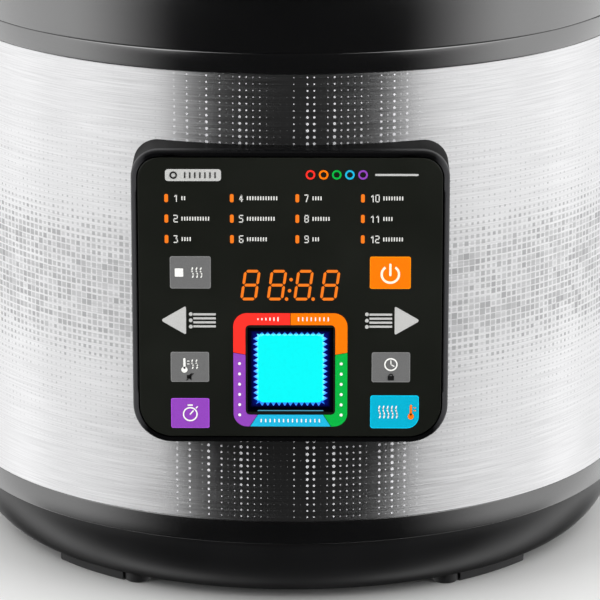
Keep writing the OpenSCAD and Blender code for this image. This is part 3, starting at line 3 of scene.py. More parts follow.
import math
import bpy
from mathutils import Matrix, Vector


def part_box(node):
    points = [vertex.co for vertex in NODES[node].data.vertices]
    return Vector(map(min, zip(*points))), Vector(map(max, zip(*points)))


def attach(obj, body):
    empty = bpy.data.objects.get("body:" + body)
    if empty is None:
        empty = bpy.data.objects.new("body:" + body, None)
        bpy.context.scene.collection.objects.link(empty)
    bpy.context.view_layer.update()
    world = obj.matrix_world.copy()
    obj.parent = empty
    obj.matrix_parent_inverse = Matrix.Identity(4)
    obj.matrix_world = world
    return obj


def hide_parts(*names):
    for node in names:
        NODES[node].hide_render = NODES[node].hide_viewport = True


bl_info = {
    "name": "Electric Pressure Cooker Looks",
    "version": (1, 0, 0),
    "blender": (4, 5, 0),
    "location": "3D View > Sidebar > Cooker",
    "description": "Models the cooker's visible pieces around its frame and finishes every surface",
    "category": "Object",
}

import bmesh
import bpy
from bpy.props import FloatProperty, FloatVectorProperty, PointerProperty
from mathutils import Matrix, Vector

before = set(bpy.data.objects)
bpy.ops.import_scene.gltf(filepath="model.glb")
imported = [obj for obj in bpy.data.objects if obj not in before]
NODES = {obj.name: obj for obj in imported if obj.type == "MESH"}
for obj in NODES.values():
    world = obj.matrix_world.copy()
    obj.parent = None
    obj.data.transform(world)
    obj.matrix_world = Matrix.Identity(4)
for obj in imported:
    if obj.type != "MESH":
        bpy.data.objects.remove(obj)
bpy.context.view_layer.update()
MM = 0.001
FULL_TURN = 2 * math.pi
QUARTER_TURN = math.pi / 2

# Thickness of a print on the panel's face, in millimetres
PRINT = 0.2
# Radii of the panel's corners, in millimetres
TOP_CORNER = 11
LOW_CORNER = 16
# Width of the coloured ring at its sides, and above and below, in millimetres
RING_SIDE = 4.85
RING_BAND = 4.9


def linear(hex_colour):
    """An sRGB hex value as a linear colour."""
    parts = [int(hex_colour[i : i + 2], 16) / 255 for i in (1, 3, 5)]
    return tuple(p / 12.92 if p <= 0.04045 else ((p + 0.055) / 1.055) ** 2.4 for p in parts)


def opaque(hex_colour):
    """An sRGB hex value as a linear colour with an alpha of 1."""
    return (*linear(hex_colour), 1)


def tinted(colour, share):
    """A linear colour made lighter or darker, with an alpha of 1."""
    return (*(min(1, c * share) for c in colour[:3]), 1)


# ---- Sizes and colours ----


def colour_property(name, hex_colour, description):
    """A colour that a user can change."""
    return FloatVectorProperty(
        name=name,
        description=description,
        default=linear(hex_colour),
        subtype="COLOR",
        min=0,
        max=1,
    )


class CookerSizes(bpy.types.PropertyGroup):
    """Sizes that the looks add to the frame"""

    edge: FloatProperty(
        name="Moulded edge",
        description="Radius on the edges of the trims",
        default=0.5 * MM,
        unit="LENGTH",
    )
    dot_pitch: FloatProperty(
        name="Dot pitch",
        description="Distance between the etched dots on the steel",
        default=2.7 * MM,
        unit="LENGTH",
    )
    brush_width: FloatProperty(
        name="Brush line",
        description="Width of a brush line on the drum",
        default=0.5 * MM,
        unit="LENGTH",
    )


class CookerColours(bpy.types.PropertyGroup):
    """Colours of the plastics, prints and lights"""

    steel: colour_property("Steel", "#e2e2e3", "Brushed stainless steel of the drum")
    etching: colour_property("Etched dots", "#a8a8aa", "Matt etched dots on the steel")
    body: colour_property("Body plastic", "#080809", "Glossy plastic of the collar, the trims and the lid")
    front: colour_property("Front plate", "#171914", "Back-printed front plate")
    grey: colour_property("Grey keys", "#6c6c6c", "Print of the plain keys")
    orange: colour_property("Orange", "#ff7800", "Start key and one share of the ring")
    purple: colour_property("Purple", "#8f44b7", "Timer key and one share of the ring")
    cyan: colour_property("Cyan", "#00accc", "Warm key")
    red: colour_property("Red", "#ff3128", "Heating share of the ring")
    green: colour_property("Green", "#03af41", "Ready share of the ring")
    blue: colour_property("Blue", "#1eb4dc", "Warm share of the ring")
    light: colour_property("Status light", "#00ffff", "Lit lens of the status light")
    lamp: colour_property("Lit segments", "#ff801e", "Digits and programme lights")


# ---- Materials ----

FINISHES = {}


def add(tree, kind, inputs=(), stops=(), **settings):
    """Adds a node with its settings, its inputs by name or in order, and its colour ramp's stops."""
    made = tree.nodes.new("ShaderNode" + kind)
    for name, value in settings.items():
        setattr(made, name, value)
    for key, value in inputs.items() if isinstance(inputs, dict) else enumerate(inputs):
        if isinstance(value, bpy.types.Node):
            value = value.outputs[0]
        if isinstance(value, bpy.types.NodeSocket):
            tree.links.new(value, made.inputs[key])
        else:
            made.inputs[key].default_value = value
    if stops:
        elements = made.color_ramp.elements
        while len(elements) < len(stops):
            elements.new(0.5)
        for element, (place, colour) in zip(elements, stops):
            element.position = place
            element.color = colour
    return made


def wire(tree, shader, **sources):
    """Links nodes, or their sockets, to the inputs of a shader that the keywords name."""
    for name, source in sources.items():
        socket = source.outputs[0] if isinstance(source, bpy.types.Node) else source
        tree.links.new(socket, shader.inputs[name.replace("_", " ")])


def shader_for(name, **inputs):
    """A new material with one shader: the material, its tree, the shader and the place on the object."""
    material = bpy.data.materials.new(name)
    material.use_nodes = True
    tree = material.node_tree
    tree.nodes.clear()
    values = {key.replace("_", " "): value for key, value in inputs.items()}
    shader = add(tree, "BsdfPrincipled", values)
    add(tree, "OutputMaterial", {"Surface": shader})
    place = add(tree, "TexCoord").outputs["Object"]
    return material, tree, shader, place


def surfaced(tree, shader, colour, roughness, tone, drift, relief, depth, shades, swing):
    """Drives a shader's colour from a tone pattern, between two shades, its gloss from a drift, with a
    swing to each side, and its bump from a relief with a depth."""
    low, high = 0.3, 0.7
    dark, pale = shades
    shade = add(tree, "ValToRGB", {0: tone}, ((low, tinted(colour, dark)), (high, tinted(colour, pale))))
    gloss = add(tree, "MapRange", (drift, low, high, roughness * (1 - swing), roughness * (1 + swing)))
    bump = add(tree, "Bump", {"Height": relief, "Distance": depth, "Strength": 1.0})
    wire(tree, shader, Base_Color=shade, Roughness=gloss, Normal=bump)


def moulded(name, colour, roughness, grain=0.4 * MM, depth=0.004 * MM, **inputs):
    """Moulded plastic: a fine grain, slow waves of gloss and a slight drift of colour."""
    wave = 35 * MM
    material, tree, shader, place = shader_for(name, **inputs)
    drift = add(tree, "TexNoise", {"Vector": place, "Scale": 1 / wave, "Detail": 3.0})
    skin = add(tree, "TexNoise", {"Vector": place, "Scale": 1 / grain, "Detail": 2.0})
    surfaced(tree, shader, colour, roughness, drift, drift, skin, depth, shades=(0.86, 1.14), swing=0.12)
    return material


def worked_metal(name, colour, roughness, stretch=(1, 1, 1), grain=0.5 * MM, depth=0.0012 * MM):
    """Rolled, drawn or cast metal: marks that run along the sheet, and a drift of gloss."""
    wave = 25 * MM
    material, tree, shader, place = shader_for(name, Metallic=1.0)
    stretched = add(tree, "Mapping", {"Vector": place, "Scale": stretch})
    marks = add(tree, "TexNoise", {"Vector": stretched, "Scale": 1 / grain, "Detail": 3.0})
    drift = add(tree, "TexNoise", {"Vector": place, "Scale": 1 / wave, "Detail": 3.0})
    surfaced(tree, shader, colour, roughness, marks, drift, marks, depth, shades=(0.91, 1.06), swing=0.15)
    return material


def rim_plastic():
    """Polished moulded plastic with a painted sheen: its colour turns paler down the rim's two sides, where
    it catches the side light.
    """
    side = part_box("panel_housing")[1].x
    sheen_from, sheen_to = 6 * MM, 1.6 * MM
    material, tree, shader, place = shader_for("abs_moulded_polished_painted_sheen", Roughness=0.4, Specular_IOR_Level=0.08)
    parts = add(tree, "SeparateXYZ", {0: place})
    across = add(tree, "Math", {0: parts.outputs["X"]}, operation="ABSOLUTE")
    share = add(tree, "MapRange", (across, side - sheen_from, side - sheen_to, 0.0, 1.0))
    # Painted sheen: the colour goes from near black to grey towards each side of the rim
    tone = add(tree, "ValToRGB", {0: share}, ((0.0, opaque("#070708")), (1.0, opaque("#3c3c3e"))))
    wire(tree, shader, Base_Color=tone)
    return material


def lit(name, colour, strength):
    """A lit print: even light with a slightly hotter middle tone from the diffuser behind it."""
    cloud_size = 1.5 * MM
    material, tree, shader, place = shader_for(
        name,
        Base_Color=tinted(colour, 0.03),
        Roughness=0.4,
        Specular_IOR_Level=0.2,
        Emission_Strength=strength,
    )
    cloud = add(tree, "TexNoise", {"Vector": place, "Scale": 1 / cloud_size, "Detail": 2.0})
    tone = add(tree, "ValToRGB", {0: cloud}, ((0.3, tinted(colour, 0.95)), (0.7, tinted(colour, 1.03))))
    wire(tree, shader, Emission_Color=tone)
    return material


def printed_ink(name, colour):
    """Screen-printed ink: the mesh leaves a faint speckle, and the coat over it keeps a soft gloss."""
    mesh_pitch = 0.25 * MM
    material, tree, shader, place = shader_for(name, Roughness=0.45, Specular_IOR_Level=0.06)
    speckle = add(tree, "TexNoise", {"Vector": place, "Scale": 1 / mesh_pitch, "Detail": 2.0})
    tone = add(tree, "ValToRGB", {0: speckle}, ((0.35, tinted(colour, 0.9)), (0.65, tinted(colour, 1.05))))
    bump = add(tree, "Bump", {"Height": speckle, "Distance": 0.003 * MM, "Strength": 1.0})
    wire(tree, shader, Base_Color=tone, Normal=bump)
    return material


def lit_teeth(name, stops, strength, fall=2.5):
    """Facets round the status light: the colour changes with the millimetres from the light plate."""
    low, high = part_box("status_lens")
    middle = (low + high) / 2
    plate = high.x - 2.4 * MM
    material, tree, shader, place = shader_for(name, Roughness=0.12, Emission_Strength=strength)
    parts = add(tree, "SeparateXYZ", {0: place})
    away = []
    for axis, at in (("X", middle.x), ("Z", middle.z)):
        offset = add(tree, "Math", (parts.outputs[axis], at), operation="SUBTRACT")
        away.append(add(tree, "Math", {0: offset}, operation="ABSOLUTE"))
    out = add(tree, "Math", away, operation="MAXIMUM")
    share = add(tree, "MapRange", (out, plate, plate + fall * MM, 0.0, 1.0))
    tone = add(tree, "ValToRGB", {0: share}, [(at, opaque(tint)) for at, tint in stops])
    wire(tree, shader, Emission_Color=tone, Base_Color=tone)
    return material


def etched_drum_steel(sizes, colours):
    """Brushed stainless steel: long fine lines around the drum stretch each reflection up and down,
    and matt etched squares in a grid, whose colour is painted light: greyer on the bright sides and paler on
    the dark front."""
    material, tree, shader, place = shader_for(
        "stainless_steel_brushed_and_etched", Anisotropic=0.92, Anisotropic_Rotation=0.25
    )
    parts = add(tree, "SeparateXYZ", {0: place})
    back = add(tree, "Math", (parts.outputs["Y"], -1.0), operation="MULTIPLY")
    turn = add(tree, "Math", (parts.outputs["X"], back), operation="ARCTAN2")
    dot, sideways = etched_dots(tree, turn, parts.outputs["Z"], sizes.dot_pitch)
    marks = brush_marks(tree, turn, parts.outputs["Z"], sizes.brush_width)
    half_marks = add(tree, "Math", (marks, 0.5), operation="MULTIPLY")
    steel_stops = ((0.36, tinted(colours.steel, 0.84)), (0.64, tinted(colours.steel, 1.06)))
    steel = add(tree, "ValToRGB", {0: half_marks}, steel_stops)
    # Painted light: the etch's colour is paler on the drum's dark front and greyer on its bright sides
    etched_painted_light_stops = ((0.0, tinted(colours.etching, 2.2)), (1.0, tinted(colours.etching, 0.9)))
    etched = add(tree, "ValToRGB", {0: sideways}, etched_painted_light_stops)
    tone = add(tree, "Mix", {0: dot, 6: steel, 7: etched}, data_type="RGBA")
    metallic = add(tree, "MapRange", (dot, 0.0, 1.0, 1.0, 0.05))
    brushed = add(tree, "MapRange", (marks, 0.7, 1.3, 0.3, 0.4))
    rough = add(tree, "Mix", {0: dot, 2: brushed, 3: 0.7}, data_type="FLOAT")
    bump = add(tree, "Bump", {"Height": marks, "Distance": 0.004 * MM, "Strength": 1.0})
    tangent = add(tree, "Tangent", direction_type="RADIAL", axis="Z")
    wire(
        tree,
        shader,
        Base_Color=tone.outputs[2],
        Metallic=metallic,
        Roughness=rough,
        Normal=bump,
        Tangent=tangent,
    )
    return material


def brush_marks(tree, turn, height, width):
    """Brush lines around the drum, drawn twice as wide as a real grit leaves them so that they show."""
    line = add(tree, "CombineXYZ", (turn, height))
    layers = []
    for around, up in ((3.0, 1 / width), (9.0, 3 / width)):
        stretched = add(tree, "Mapping", {"Vector": line, "Scale": (around, up, 1.0)})
        noise = {"Vector": stretched, "Scale": 1.0, "Detail": 2.0}
        layers.append(add(tree, "TexNoise", noise, noise_dimensions="2D"))
    return add(tree, "Math", layers, operation="ADD")


def etched_dots(tree, turn, height, pitch):
    """The etched dots' strength, and how far a place belongs to the drum's sides and not its front.
    The sides hold large squares in a belt round the drum's middle and small ones above and below it.
    The front holds small round dots whose size follows their column. Sizes are half-widths in cells,
    and turns are radians from the front."""
    low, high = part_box("steel_drum")
    columns = round(FULL_TURN * high.x / pitch)
    middle = (low.z + high.z) / 2 - 1 * MM
    belt, plain = 16 * MM, 36 * MM
    front_to, sides_from = 0.32, 0.4
    cells_in_cluster = 1 / 0.21
    soft_edge = 0.03

    # Cell, and the place in it
    cells, offsets = [], []
    for value, scale in ((turn, columns / FULL_TURN), (height, 1 / pitch)):
        along = add(tree, "Math", (value, scale), operation="MULTIPLY")
        cell = add(tree, "Math", {0: along}, operation="FLOOR")
        inner = add(tree, "Math", (along, cell), operation="SUBTRACT")
        cells.append(cell)
        offsets.append(add(tree, "Math", (inner, 0.5), operation="SUBTRACT"))
    reaches = [add(tree, "Math", {0: offset}, operation="ABSOLUTE") for offset in offsets]
    square = add(tree, "Math", reaches, operation="MAXIMUM")
    offset = add(tree, "CombineXYZ", offsets)
    round_dot = add(tree, "VectorMath", {0: offset}, operation="LENGTH").outputs["Value"]

    # Chance, by column, by cell and by cluster of cells
    cell = add(tree, "CombineXYZ", cells)
    column_noise = add(tree, "TexWhiteNoise", {"W": cells[0]}, noise_dimensions="1D")
    cell_noise = add(tree, "TexWhiteNoise", {"Vector": cell}, noise_dimensions="2D")
    cluster_noise = {"Vector": cell, "Scale": 1 / cells_in_cluster, "Detail": 1.0}
    cluster = add(tree, "TexNoise", cluster_noise, noise_dimensions="2D")

    # Size of a dot, on the sides and on the front
    above = add(tree, "Math", (height, middle), operation="SUBTRACT")
    away = add(tree, "Math", {0: above}, operation="ABSOLUTE")
    side = add(tree, "Math", {0: turn}, operation="ABSOLUTE")
    sideways = add(tree, "MapRange", (side, front_to, sides_from, 0, 1))
    side_size = add(tree, "MapRange", (away, belt, plain, 0.42, 0.15))
    for share in ((cell_noise, 0, 1, 0.72, 1.06), (cluster, 0.3, 0.7, 0.84, 1.08)):
        factor = add(tree, "MapRange", share)
        side_size = add(tree, "Math", (side_size, factor), operation="MULTIPLY")
    column_size = add(tree, "MapRange", (column_noise, 0.15, 1, 0.02, 0.26))
    front_fade = add(tree, "MapRange", (away, 70 * MM, 90 * MM, 1, 0.55))
    front_size = add(tree, "Math", (column_size, front_fade), operation="MULTIPLY")

    # Strength of a dot, on the sides and on the front
    tint = add(tree, "MapRange", (cell_noise.outputs[1], 0, 1, 0.2, 1))
    side_fade = add(tree, "MapRange", (away, 24 * MM, 76 * MM, 1, 0.08))
    side_strength = add(tree, "Math", (tint, side_fade), operation="MULTIPLY")
    front_strength = add(tree, "MapRange", (column_noise.outputs[1], 0, 1, 0.45, 1))

    size, reach, strength = (
        add(tree, "Mix", {0: sideways, 2: front, 3: flank}, data_type="FLOAT")
        for front, flank in (
            (front_size, side_size),
            (round_dot, square),
            (front_strength, side_strength),
        )
    )
    within = add(tree, "Math", (size, reach), operation="SUBTRACT")
    mask = add(tree, "MapRange", (within, -soft_edge, soft_edge, 0, 1))
    return add(tree, "Math", (mask, strength), operation="MULTIPLY"), sideways


def housing_finishes(sizes, colours):
    """What the outside is made of, from the feet to the collar."""
    gloss = {"Specular_IOR_Level": 1.0, "Coat_Weight": 1.0, "Coat_Roughness": 0.12, "Coat_IOR": 2.0}
    trim = {"Specular_IOR_Level": 0.9, "Coat_Weight": 0.7, "Coat_Roughness": 0.15, "Coat_IOR": 1.9}
    cup = {"Transmission_Weight": 0.9, "IOR": 1.58}
    return {
        # Dull skin that gives no clear reflection
        "rubber_black": moulded("rubber_moulded", linear("#1d1d1e"), 0.65, depth=0.01 * MM),
        # Broad soft highlights that follow the bowl
        "base_plastic": moulded(
            "polypropylene_moulded_satin", linear("#141415"), 0.34, Specular_IOR_Level=0.35
        ),
        # Polished mould: a deep black with pale, slightly blurred reflections
        "gloss_black": moulded("abs_moulded_gloss", colours.body, 0.2, **gloss),
        # The same mould finish a little worn, for thinner reflections
        "trim_gloss": moulded("abs_moulded_trim", colours.body, 0.22, **trim),
        # Reflections stretched up and down, crossed by fine level lines and broken by the dots
        "drum_steel": etched_drum_steel(sizes, colours),
        # Hard resin: dark with a wide grey sheen
        "handle_black": moulded("phenolic_moulded_satin", linear("#1a1a1b"), 0.38),
        # Clear wall that the drum shows through
        "cup_clear": moulded("polycarbonate_clear", linear("#e8f0f2"), 0.08, **cup),
    }


def lid_finishes(colours):
    """What the lid, its valves and the cooking pot are made of."""
    return {
        # Mirror-like dome with sharp highlights
        "lid_black": moulded(
            "polypropylene_moulded_gloss", colours.body, 0.14, Coat_Weight=1.0, Coat_Roughness=0.06
        ),
        # Bright, with turning rings that stretch round it
        "weight_steel": worked_metal("stainless_steel_turned", linear("#b8b9bb"), 0.28, (1, 1, 6)),
        # Even red with a soft highlight
        "float_red": moulded("nylon_moulded_red", linear("#b8281e"), 0.35),
        # Milky and slightly see-through at its edges
        "silicone": moulded("silicone_moulded", linear("#dcdcd6"), 0.45, Subsurface_Weight=0.1),
        # Soft grey with spinning lines round the wall
        "pot_aluminium": worked_metal("aluminium_spun_anodised", linear("#9b9c9d"), 0.4, (1, 1, 8)),
    }


def inner_finishes():
    """What the vessel, the heating parts, the boards, the leads and the fasteners are made of."""
    return {
        # Pale and slightly cloudy
        "fastener_steel": worked_metal("steel_zinc_plated", linear("#b4b6ba"), 0.32),
        # Bright, with drawing marks along the sheet
        "pressed_steel": worked_metal("stainless_steel_pressed", linear("#c9cacb"), 0.26, (0.1, 1, 1)),
        # Frosted, since the cast skin is coarse
        "plate_aluminium": worked_metal("aluminium_cast_and_turned", linear("#b2b3b5"), 0.45),
        # Brown-grey scale that hides the metal's shine
        "element_steel": worked_metal("steel_tube_oxidised", linear("#6e6a66"), 0.5),
        # Clean and pale
        "cap_aluminium": worked_metal("aluminium_turned", linear("#cfcfd0"), 0.3),
        # Darker wire with a thin highlight
        "spring_steel": worked_metal("spring_steel_drawn", linear("#9a9b9d"), 0.3),
        # Chalky and cream
        "switch_ceramic": moulded("ceramic_pressed", linear("#cdc4a6"), 0.6),
        # Glassy green lacquer over the weave
        "board_green": moulded("glass_epoxy_solder_mask", linear("#2f5f33"), 0.35),
        # Plain coloured cases
        "board_parts": moulded("polyester_moulded_parts", linear("#233f73"), 0.4),
        # Warm yellow metal
        "pin_brass": worked_metal("brass_stamped", linear("#cdb46c"), 0.3),
        # Waxy rust-red skin
        "lead_jacket": moulded("silicone_extruded_jacket", linear("#8a3a2a"), 0.5),
    }


def panel_finishes(colours):
    """What the control panel and its lights are made of."""
    well_stops = ((0.0, "#000c78"), (0.5, "#000448"), (0.75, "#00000c"), (1.0, "#000002"))
    side_stops = ((0.0, "#20f0ff"), (0.4, "#38a0f0"), (0.8, "#2f6ad8"), (1.0, "#1c3a9a"))
    low_stops = ((0.0, "#1450c8"), (0.6, "#2478e0"), (1.0, "#3c8cf0"))
    top_stops = ((0.0, "#40f8ff"), (0.6, "#58e8f4"), (1.0, "#1c5ab0"))
    return {
        # Fine texture that keeps the wall black beside the bright drum
        "panel_plastic": moulded("abs_moulded_matt", linear("#060606"), 0.6, Specular_IOR_Level=0.05),
        # Painted sheen: a thin pale line down both sides, where the rim catches the side light
        "panel_rim": rim_plastic(),
        # Near black, a little green, and even, since the ink lies behind the sheet
        "front_black": moulded("acrylic_back_printed", colours.front, 0.32, grain=0.6 * MM),
        # Grey smoke that hides what isn't lit
        "display_dark": moulded("polycarbonate_smoked", linear("#242426"), 0.2),
        # Amber glow
        "lit_orange": lit("light_segment_amber", colours.lamp, 1.0),
        # Dark blue that dies away from the light
        "well_navy": lit_teeth("polycarbonate_moulded_navy", well_stops, 0.5, 4.6),
        # Saturated lens colour
        "lens_cyan": lit("acrylic_lens_lit", colours.light, 0.9),
        "light_plate": lit("acrylic_lens_lit_flat", colours.light, 0.98),
        # Cut facets that turn from cyan to blue away from the lens, each row in its own share of light
        "light_teeth": lit_teeth("acrylic_facets_lit_blue", side_stops, 0.8),
        "light_teeth_low": lit_teeth("acrylic_facets_lit_deep_blue", low_stops, 0.7),
        "light_teeth_pale": lit_teeth("acrylic_facets_lit_pale", top_stops, 0.85),
    }


def ink_finishes(colours):
    """Flat, opaque inks; a key's rim is printed in a paler mix of its own ink."""
    made = {
        "print_white": printed_ink("ink_screen_printed_white", linear("#dcdcd8")),
        "print_grey": printed_ink("ink_screen_printed_pale_grey", linear("#bdbdbb")),
        "key_print": printed_ink("ink_screen_printed_grey", colours.grey),
        "ring_print": printed_ink("ink_screen_printed_blue", colours.blue),
        "ink_white": printed_ink("ink_screen_printed_symbols", linear("#f2f2ee")),
        "ink_black": printed_ink("ink_screen_printed_black", linear("#1a1a1a")),
        "ink_cream": printed_ink("ink_screen_printed_cream", linear("#fff4dc")),
        # Painted glint: a dim blue line where the well's lower edge catches the light, made like a print
        "painted_edge_glint": printed_ink("acrylic_edge_painted_glint_blue", linear("#4f93ad")),
    }
    for ink in ("grey", "orange", "purple", "cyan", "red", "green", "blue"):
        colour = getattr(colours, ink)
        made[f"ink_{ink}"] = printed_ink(f"ink_screen_printed_flat_{ink}", colour)
        made[f"ink_{ink}_pale"] = printed_ink(f"ink_screen_printed_rim_{ink}", tinted(colour, 1.5))
    return made


def make_finishes(sizes, colours):
    """One material for each of the record's slots and each finish that only the looks add."""
    FINISHES.update(housing_finishes(sizes, colours))
    FINISHES.update(lid_finishes(colours))
    FINISHES.update(inner_finishes())
    FINISHES.update(panel_finishes(colours))
    FINISHES.update(ink_finishes(colours))


def finish_frame_nodes():
    """Puts the finish of its slot on every node of the frame."""
    for cad_node in NODES.values():
        for index, old in enumerate(cad_node.data.materials):
            cad_node.data.materials[index] = FINISHES[old.name.split(".")[0]]


# ---- Shapes ----


def outline(bm, points, segments=8):
    """A flat face in X and Z, in millimetres; a third number rounds a corner, measured along its edges."""
    corners = [bm.verts.new((x * MM, 0.0, z * MM)) for x, z, *_ in points]
    bm.faces.new(corners)
    for corner, (_, _, *cut) in zip(corners, points):
        if cut and cut[0] > 0:
            bmesh.ops.bevel(
                bm,
                geom=[corner],
                offset=cut[0] * MM,
                offset_type="OFFSET",
                segments=segments,
                profile=0.5,
                affect="VERTICES",
                material=-1,
            )


def box_points(left, right, low, high, cut=0.0):
    """A rectangle's corners, each with the same rounding."""
    return [(left, low, cut), (right, low, cut), (right, high, cut), (left, high, cut)]


def vertices_in(geometry):
    """The vertices among what an operator gives back."""
    return [item for item in geometry if isinstance(item, bmesh.types.BMVert)]


def middle_of(edge):
    """An edge's middle, in millimetres."""
    return (edge.verts[0].co + edge.verts[1].co) / 2 / MM


def revolved(points, steps=192, turn=FULL_TURN, start=0.0, centre=(0.0, 0.0), segments=8):
    """A section in radius and height, spun about an upright axis."""
    bm = bmesh.new()
    outline(bm, points, segments)
    return lathed(bm, steps, turn, start, centre)


def lathed(bm, steps=192, turn=FULL_TURN, start=0.0, centre=(0.0, 0.0)):
    """Spins a line or a face that lies in X and Z about the upright axis, then moves it."""
    whole = abs(turn - FULL_TURN) < 1e-6
    if whole:
        bmesh.ops.delete(bm, geom=bm.faces[:], context="FACES_ONLY")
    bmesh.ops.rotate(bm, verts=bm.verts[:], cent=(0, 0, 0), matrix=Matrix.Rotation(start, 3, "Z"))
    bmesh.ops.spin(
        bm,
        geom=bm.verts[:] + bm.edges[:] + bm.faces[:],
        cent=(0, 0, 0),
        axis=(0, 0, 1),
        dvec=(0, 0, 0),
        angle=turn,
        steps=steps,
        use_merge=whole,
        use_duplicate=False,
    )
    bmesh.ops.remove_doubles(bm, verts=bm.verts[:], dist=1e-7)
    bmesh.ops.translate(bm, verts=bm.verts[:], vec=(centre[0] * MM, centre[1] * MM, 0))
    return bm


def arc_on(bm, last, z, angle, steps, x=0):
    """Carries a line on from its last point along an arc about a point in X and Z; returns its new end."""
    grown = bmesh.ops.spin(
        bm,
        geom=[last],
        cent=(x * MM, 0, z * MM),
        axis=(0, 1, 0),
        dvec=(0, 0, 0),
        angle=angle,
        steps=steps,
        use_merge=False,
        use_duplicate=False,
    )
    return vertices_in(grown["geom_last"])[0]


def line_on(bm, last, *points):
    """Carries a line on from its last point straight through others; returns its new end."""
    for x, z in points:
        point = bm.verts.new((x * MM, 0, z * MM))
        bm.edges.new((last, point))
        last = point
    return last


def extruded(points, front, back, segments=8):
    """An outline in X and Z made solid from one distance to another along Y, in millimetres."""
    bm = bmesh.new()
    outline(bm, points, segments)
    return thickened(bm, front, back)


def thickened(bm, front, back):
    """A flat face in X and Z made solid from one distance to another along Y, in millimetres."""
    grown = bmesh.ops.extrude_face_region(bm, geom=bm.faces[:])
    bmesh.ops.translate(bm, verts=bm.verts[:], vec=(0, front * MM, 0))
    bmesh.ops.translate(bm, verts=vertices_in(grown["geom"]), vec=(0, (back - front) * MM, 0))
    return bm


def laid(bm):
    """Lays an upright shape down: what ran up in Z runs in Y, and what ran in Y runs up."""
    upright = Matrix.Rotation(QUARTER_TURN, 3, "X")
    bmesh.ops.rotate(bm, verts=bm.verts[:], cent=(0, 0, 0), matrix=upright)
    bmesh.ops.scale(bm, verts=bm.verts[:], vec=(1, -1, 1))
    bmesh.ops.reverse_faces(bm, faces=bm.faces[:])
    return bm


def rounded(bm, edges, width, segments):
    """Rounds edges, by a width in millimetres."""
    bmesh.ops.bevel(
        bm,
        geom=edges,
        offset=width * MM,
        offset_type="OFFSET",
        segments=segments,
        profile=0.5,
        affect="EDGES",
        clamp_overlap=True,
        material=-1,
    )
    return bm


def soften(bm, width, choose=None, angle=50, segments=3):
    """Rounds the edges that bend by more than an angle in degrees, or those of them that a test picks."""
    bmesh.ops.recalc_face_normals(bm, faces=bm.faces[:])
    sharp = [
        edge
        for edge in bm.edges
        if len(edge.link_faces) == 2
        and edge.calc_face_angle(0) > math.radians(angle)
        and (choose is None or choose(edge))
    ]
    return rounded(bm, sharp, width, segments)


def opened(bm, first, second, lowest, highest):
    """Cuts a square-cornered opening through a plate along the third axis and walls it in, in millimetres."""
    through = 3 - first - second
    for axis, low, high in ((first, lowest[0], highest[0]), (second, lowest[1], highest[1])):
        for at in (low, high):
            spot = Vector((0, 0, 0))
            spot[axis] = at * MM
            normal = Vector((0, 0, 0))
            normal[axis] = 1
            everything = bm.verts[:] + bm.edges[:] + bm.faces[:]
            bmesh.ops.bisect_plane(bm, geom=everything, plane_co=spot, plane_no=normal)
    inside = []
    for face in bm.faces:
        middle = face.calc_center_median() / MM
        if (
            abs(face.normal[through]) > 0.9
            and lowest[0] < middle[first] < highest[0]
            and lowest[1] < middle[second] < highest[1]
        ):
            inside.append(face)
    bmesh.ops.delete(bm, geom=inside, context="FACES")
    bmesh.ops.bridge_loops(bm, edges=[edge for edge in bm.edges if edge.is_boundary])
    return bm


def joined(*parts):
    """Several shapes as the loose parts of one mesh."""
    whole = parts[0]
    for part in parts[1:]:
        mesh = bpy.data.meshes.new("part")
        part.to_mesh(mesh)
        part.free()
        whole.from_mesh(mesh)
        bpy.data.meshes.remove(mesh)
    return whole


def shifted(bm, x=0.0, y=0.0, z=0.0, turn=0.0, axis="Z"):
    """Turns a shape about an axis through the origin, then moves it, in millimetres and radians."""
    if turn:
        bmesh.ops.rotate(bm, verts=bm.verts[:], cent=(0, 0, 0), matrix=Matrix.Rotation(turn, 3, axis))
    bmesh.ops.translate(bm, verts=bm.verts[:], vec=(x * MM, y * MM, z * MM))
    return bm


def linked_object(name, bm):
    """A mesh made an object of the scene; the bmesh is freed."""
    mesh = bpy.data.meshes.new(name)
    bm.to_mesh(mesh)
    bm.free()
    made = bpy.data.objects.new(name, mesh)
    bpy.context.scene.collection.objects.link(made)
    return made


def piece(name, bm, slot, body="housing", replaced=(), finish=None, smooth_under=35):
    """Turns a mesh into a finished piece that rides on a body; its finish is its slot's unless named."""
    bmesh.ops.recalc_face_normals(bm, faces=bm.faces[:])
    made = linked_object(name, bm)
    made.data.polygons.foreach_set("use_smooth", [True] * len(made.data.polygons))
    made.data.set_sharp_from_angle(angle=math.radians(smooth_under))
    made.data.materials.append(FINISHES[finish or slot])
    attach(made, body)
    if replaced:
        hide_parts(*replaced)
    return made


def in_mm(node_name):
    """A node's lowest and highest corners, in millimetres."""
    low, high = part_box(node_name)
    return low / MM, high / MM


# ---- Base, trims and collar ----


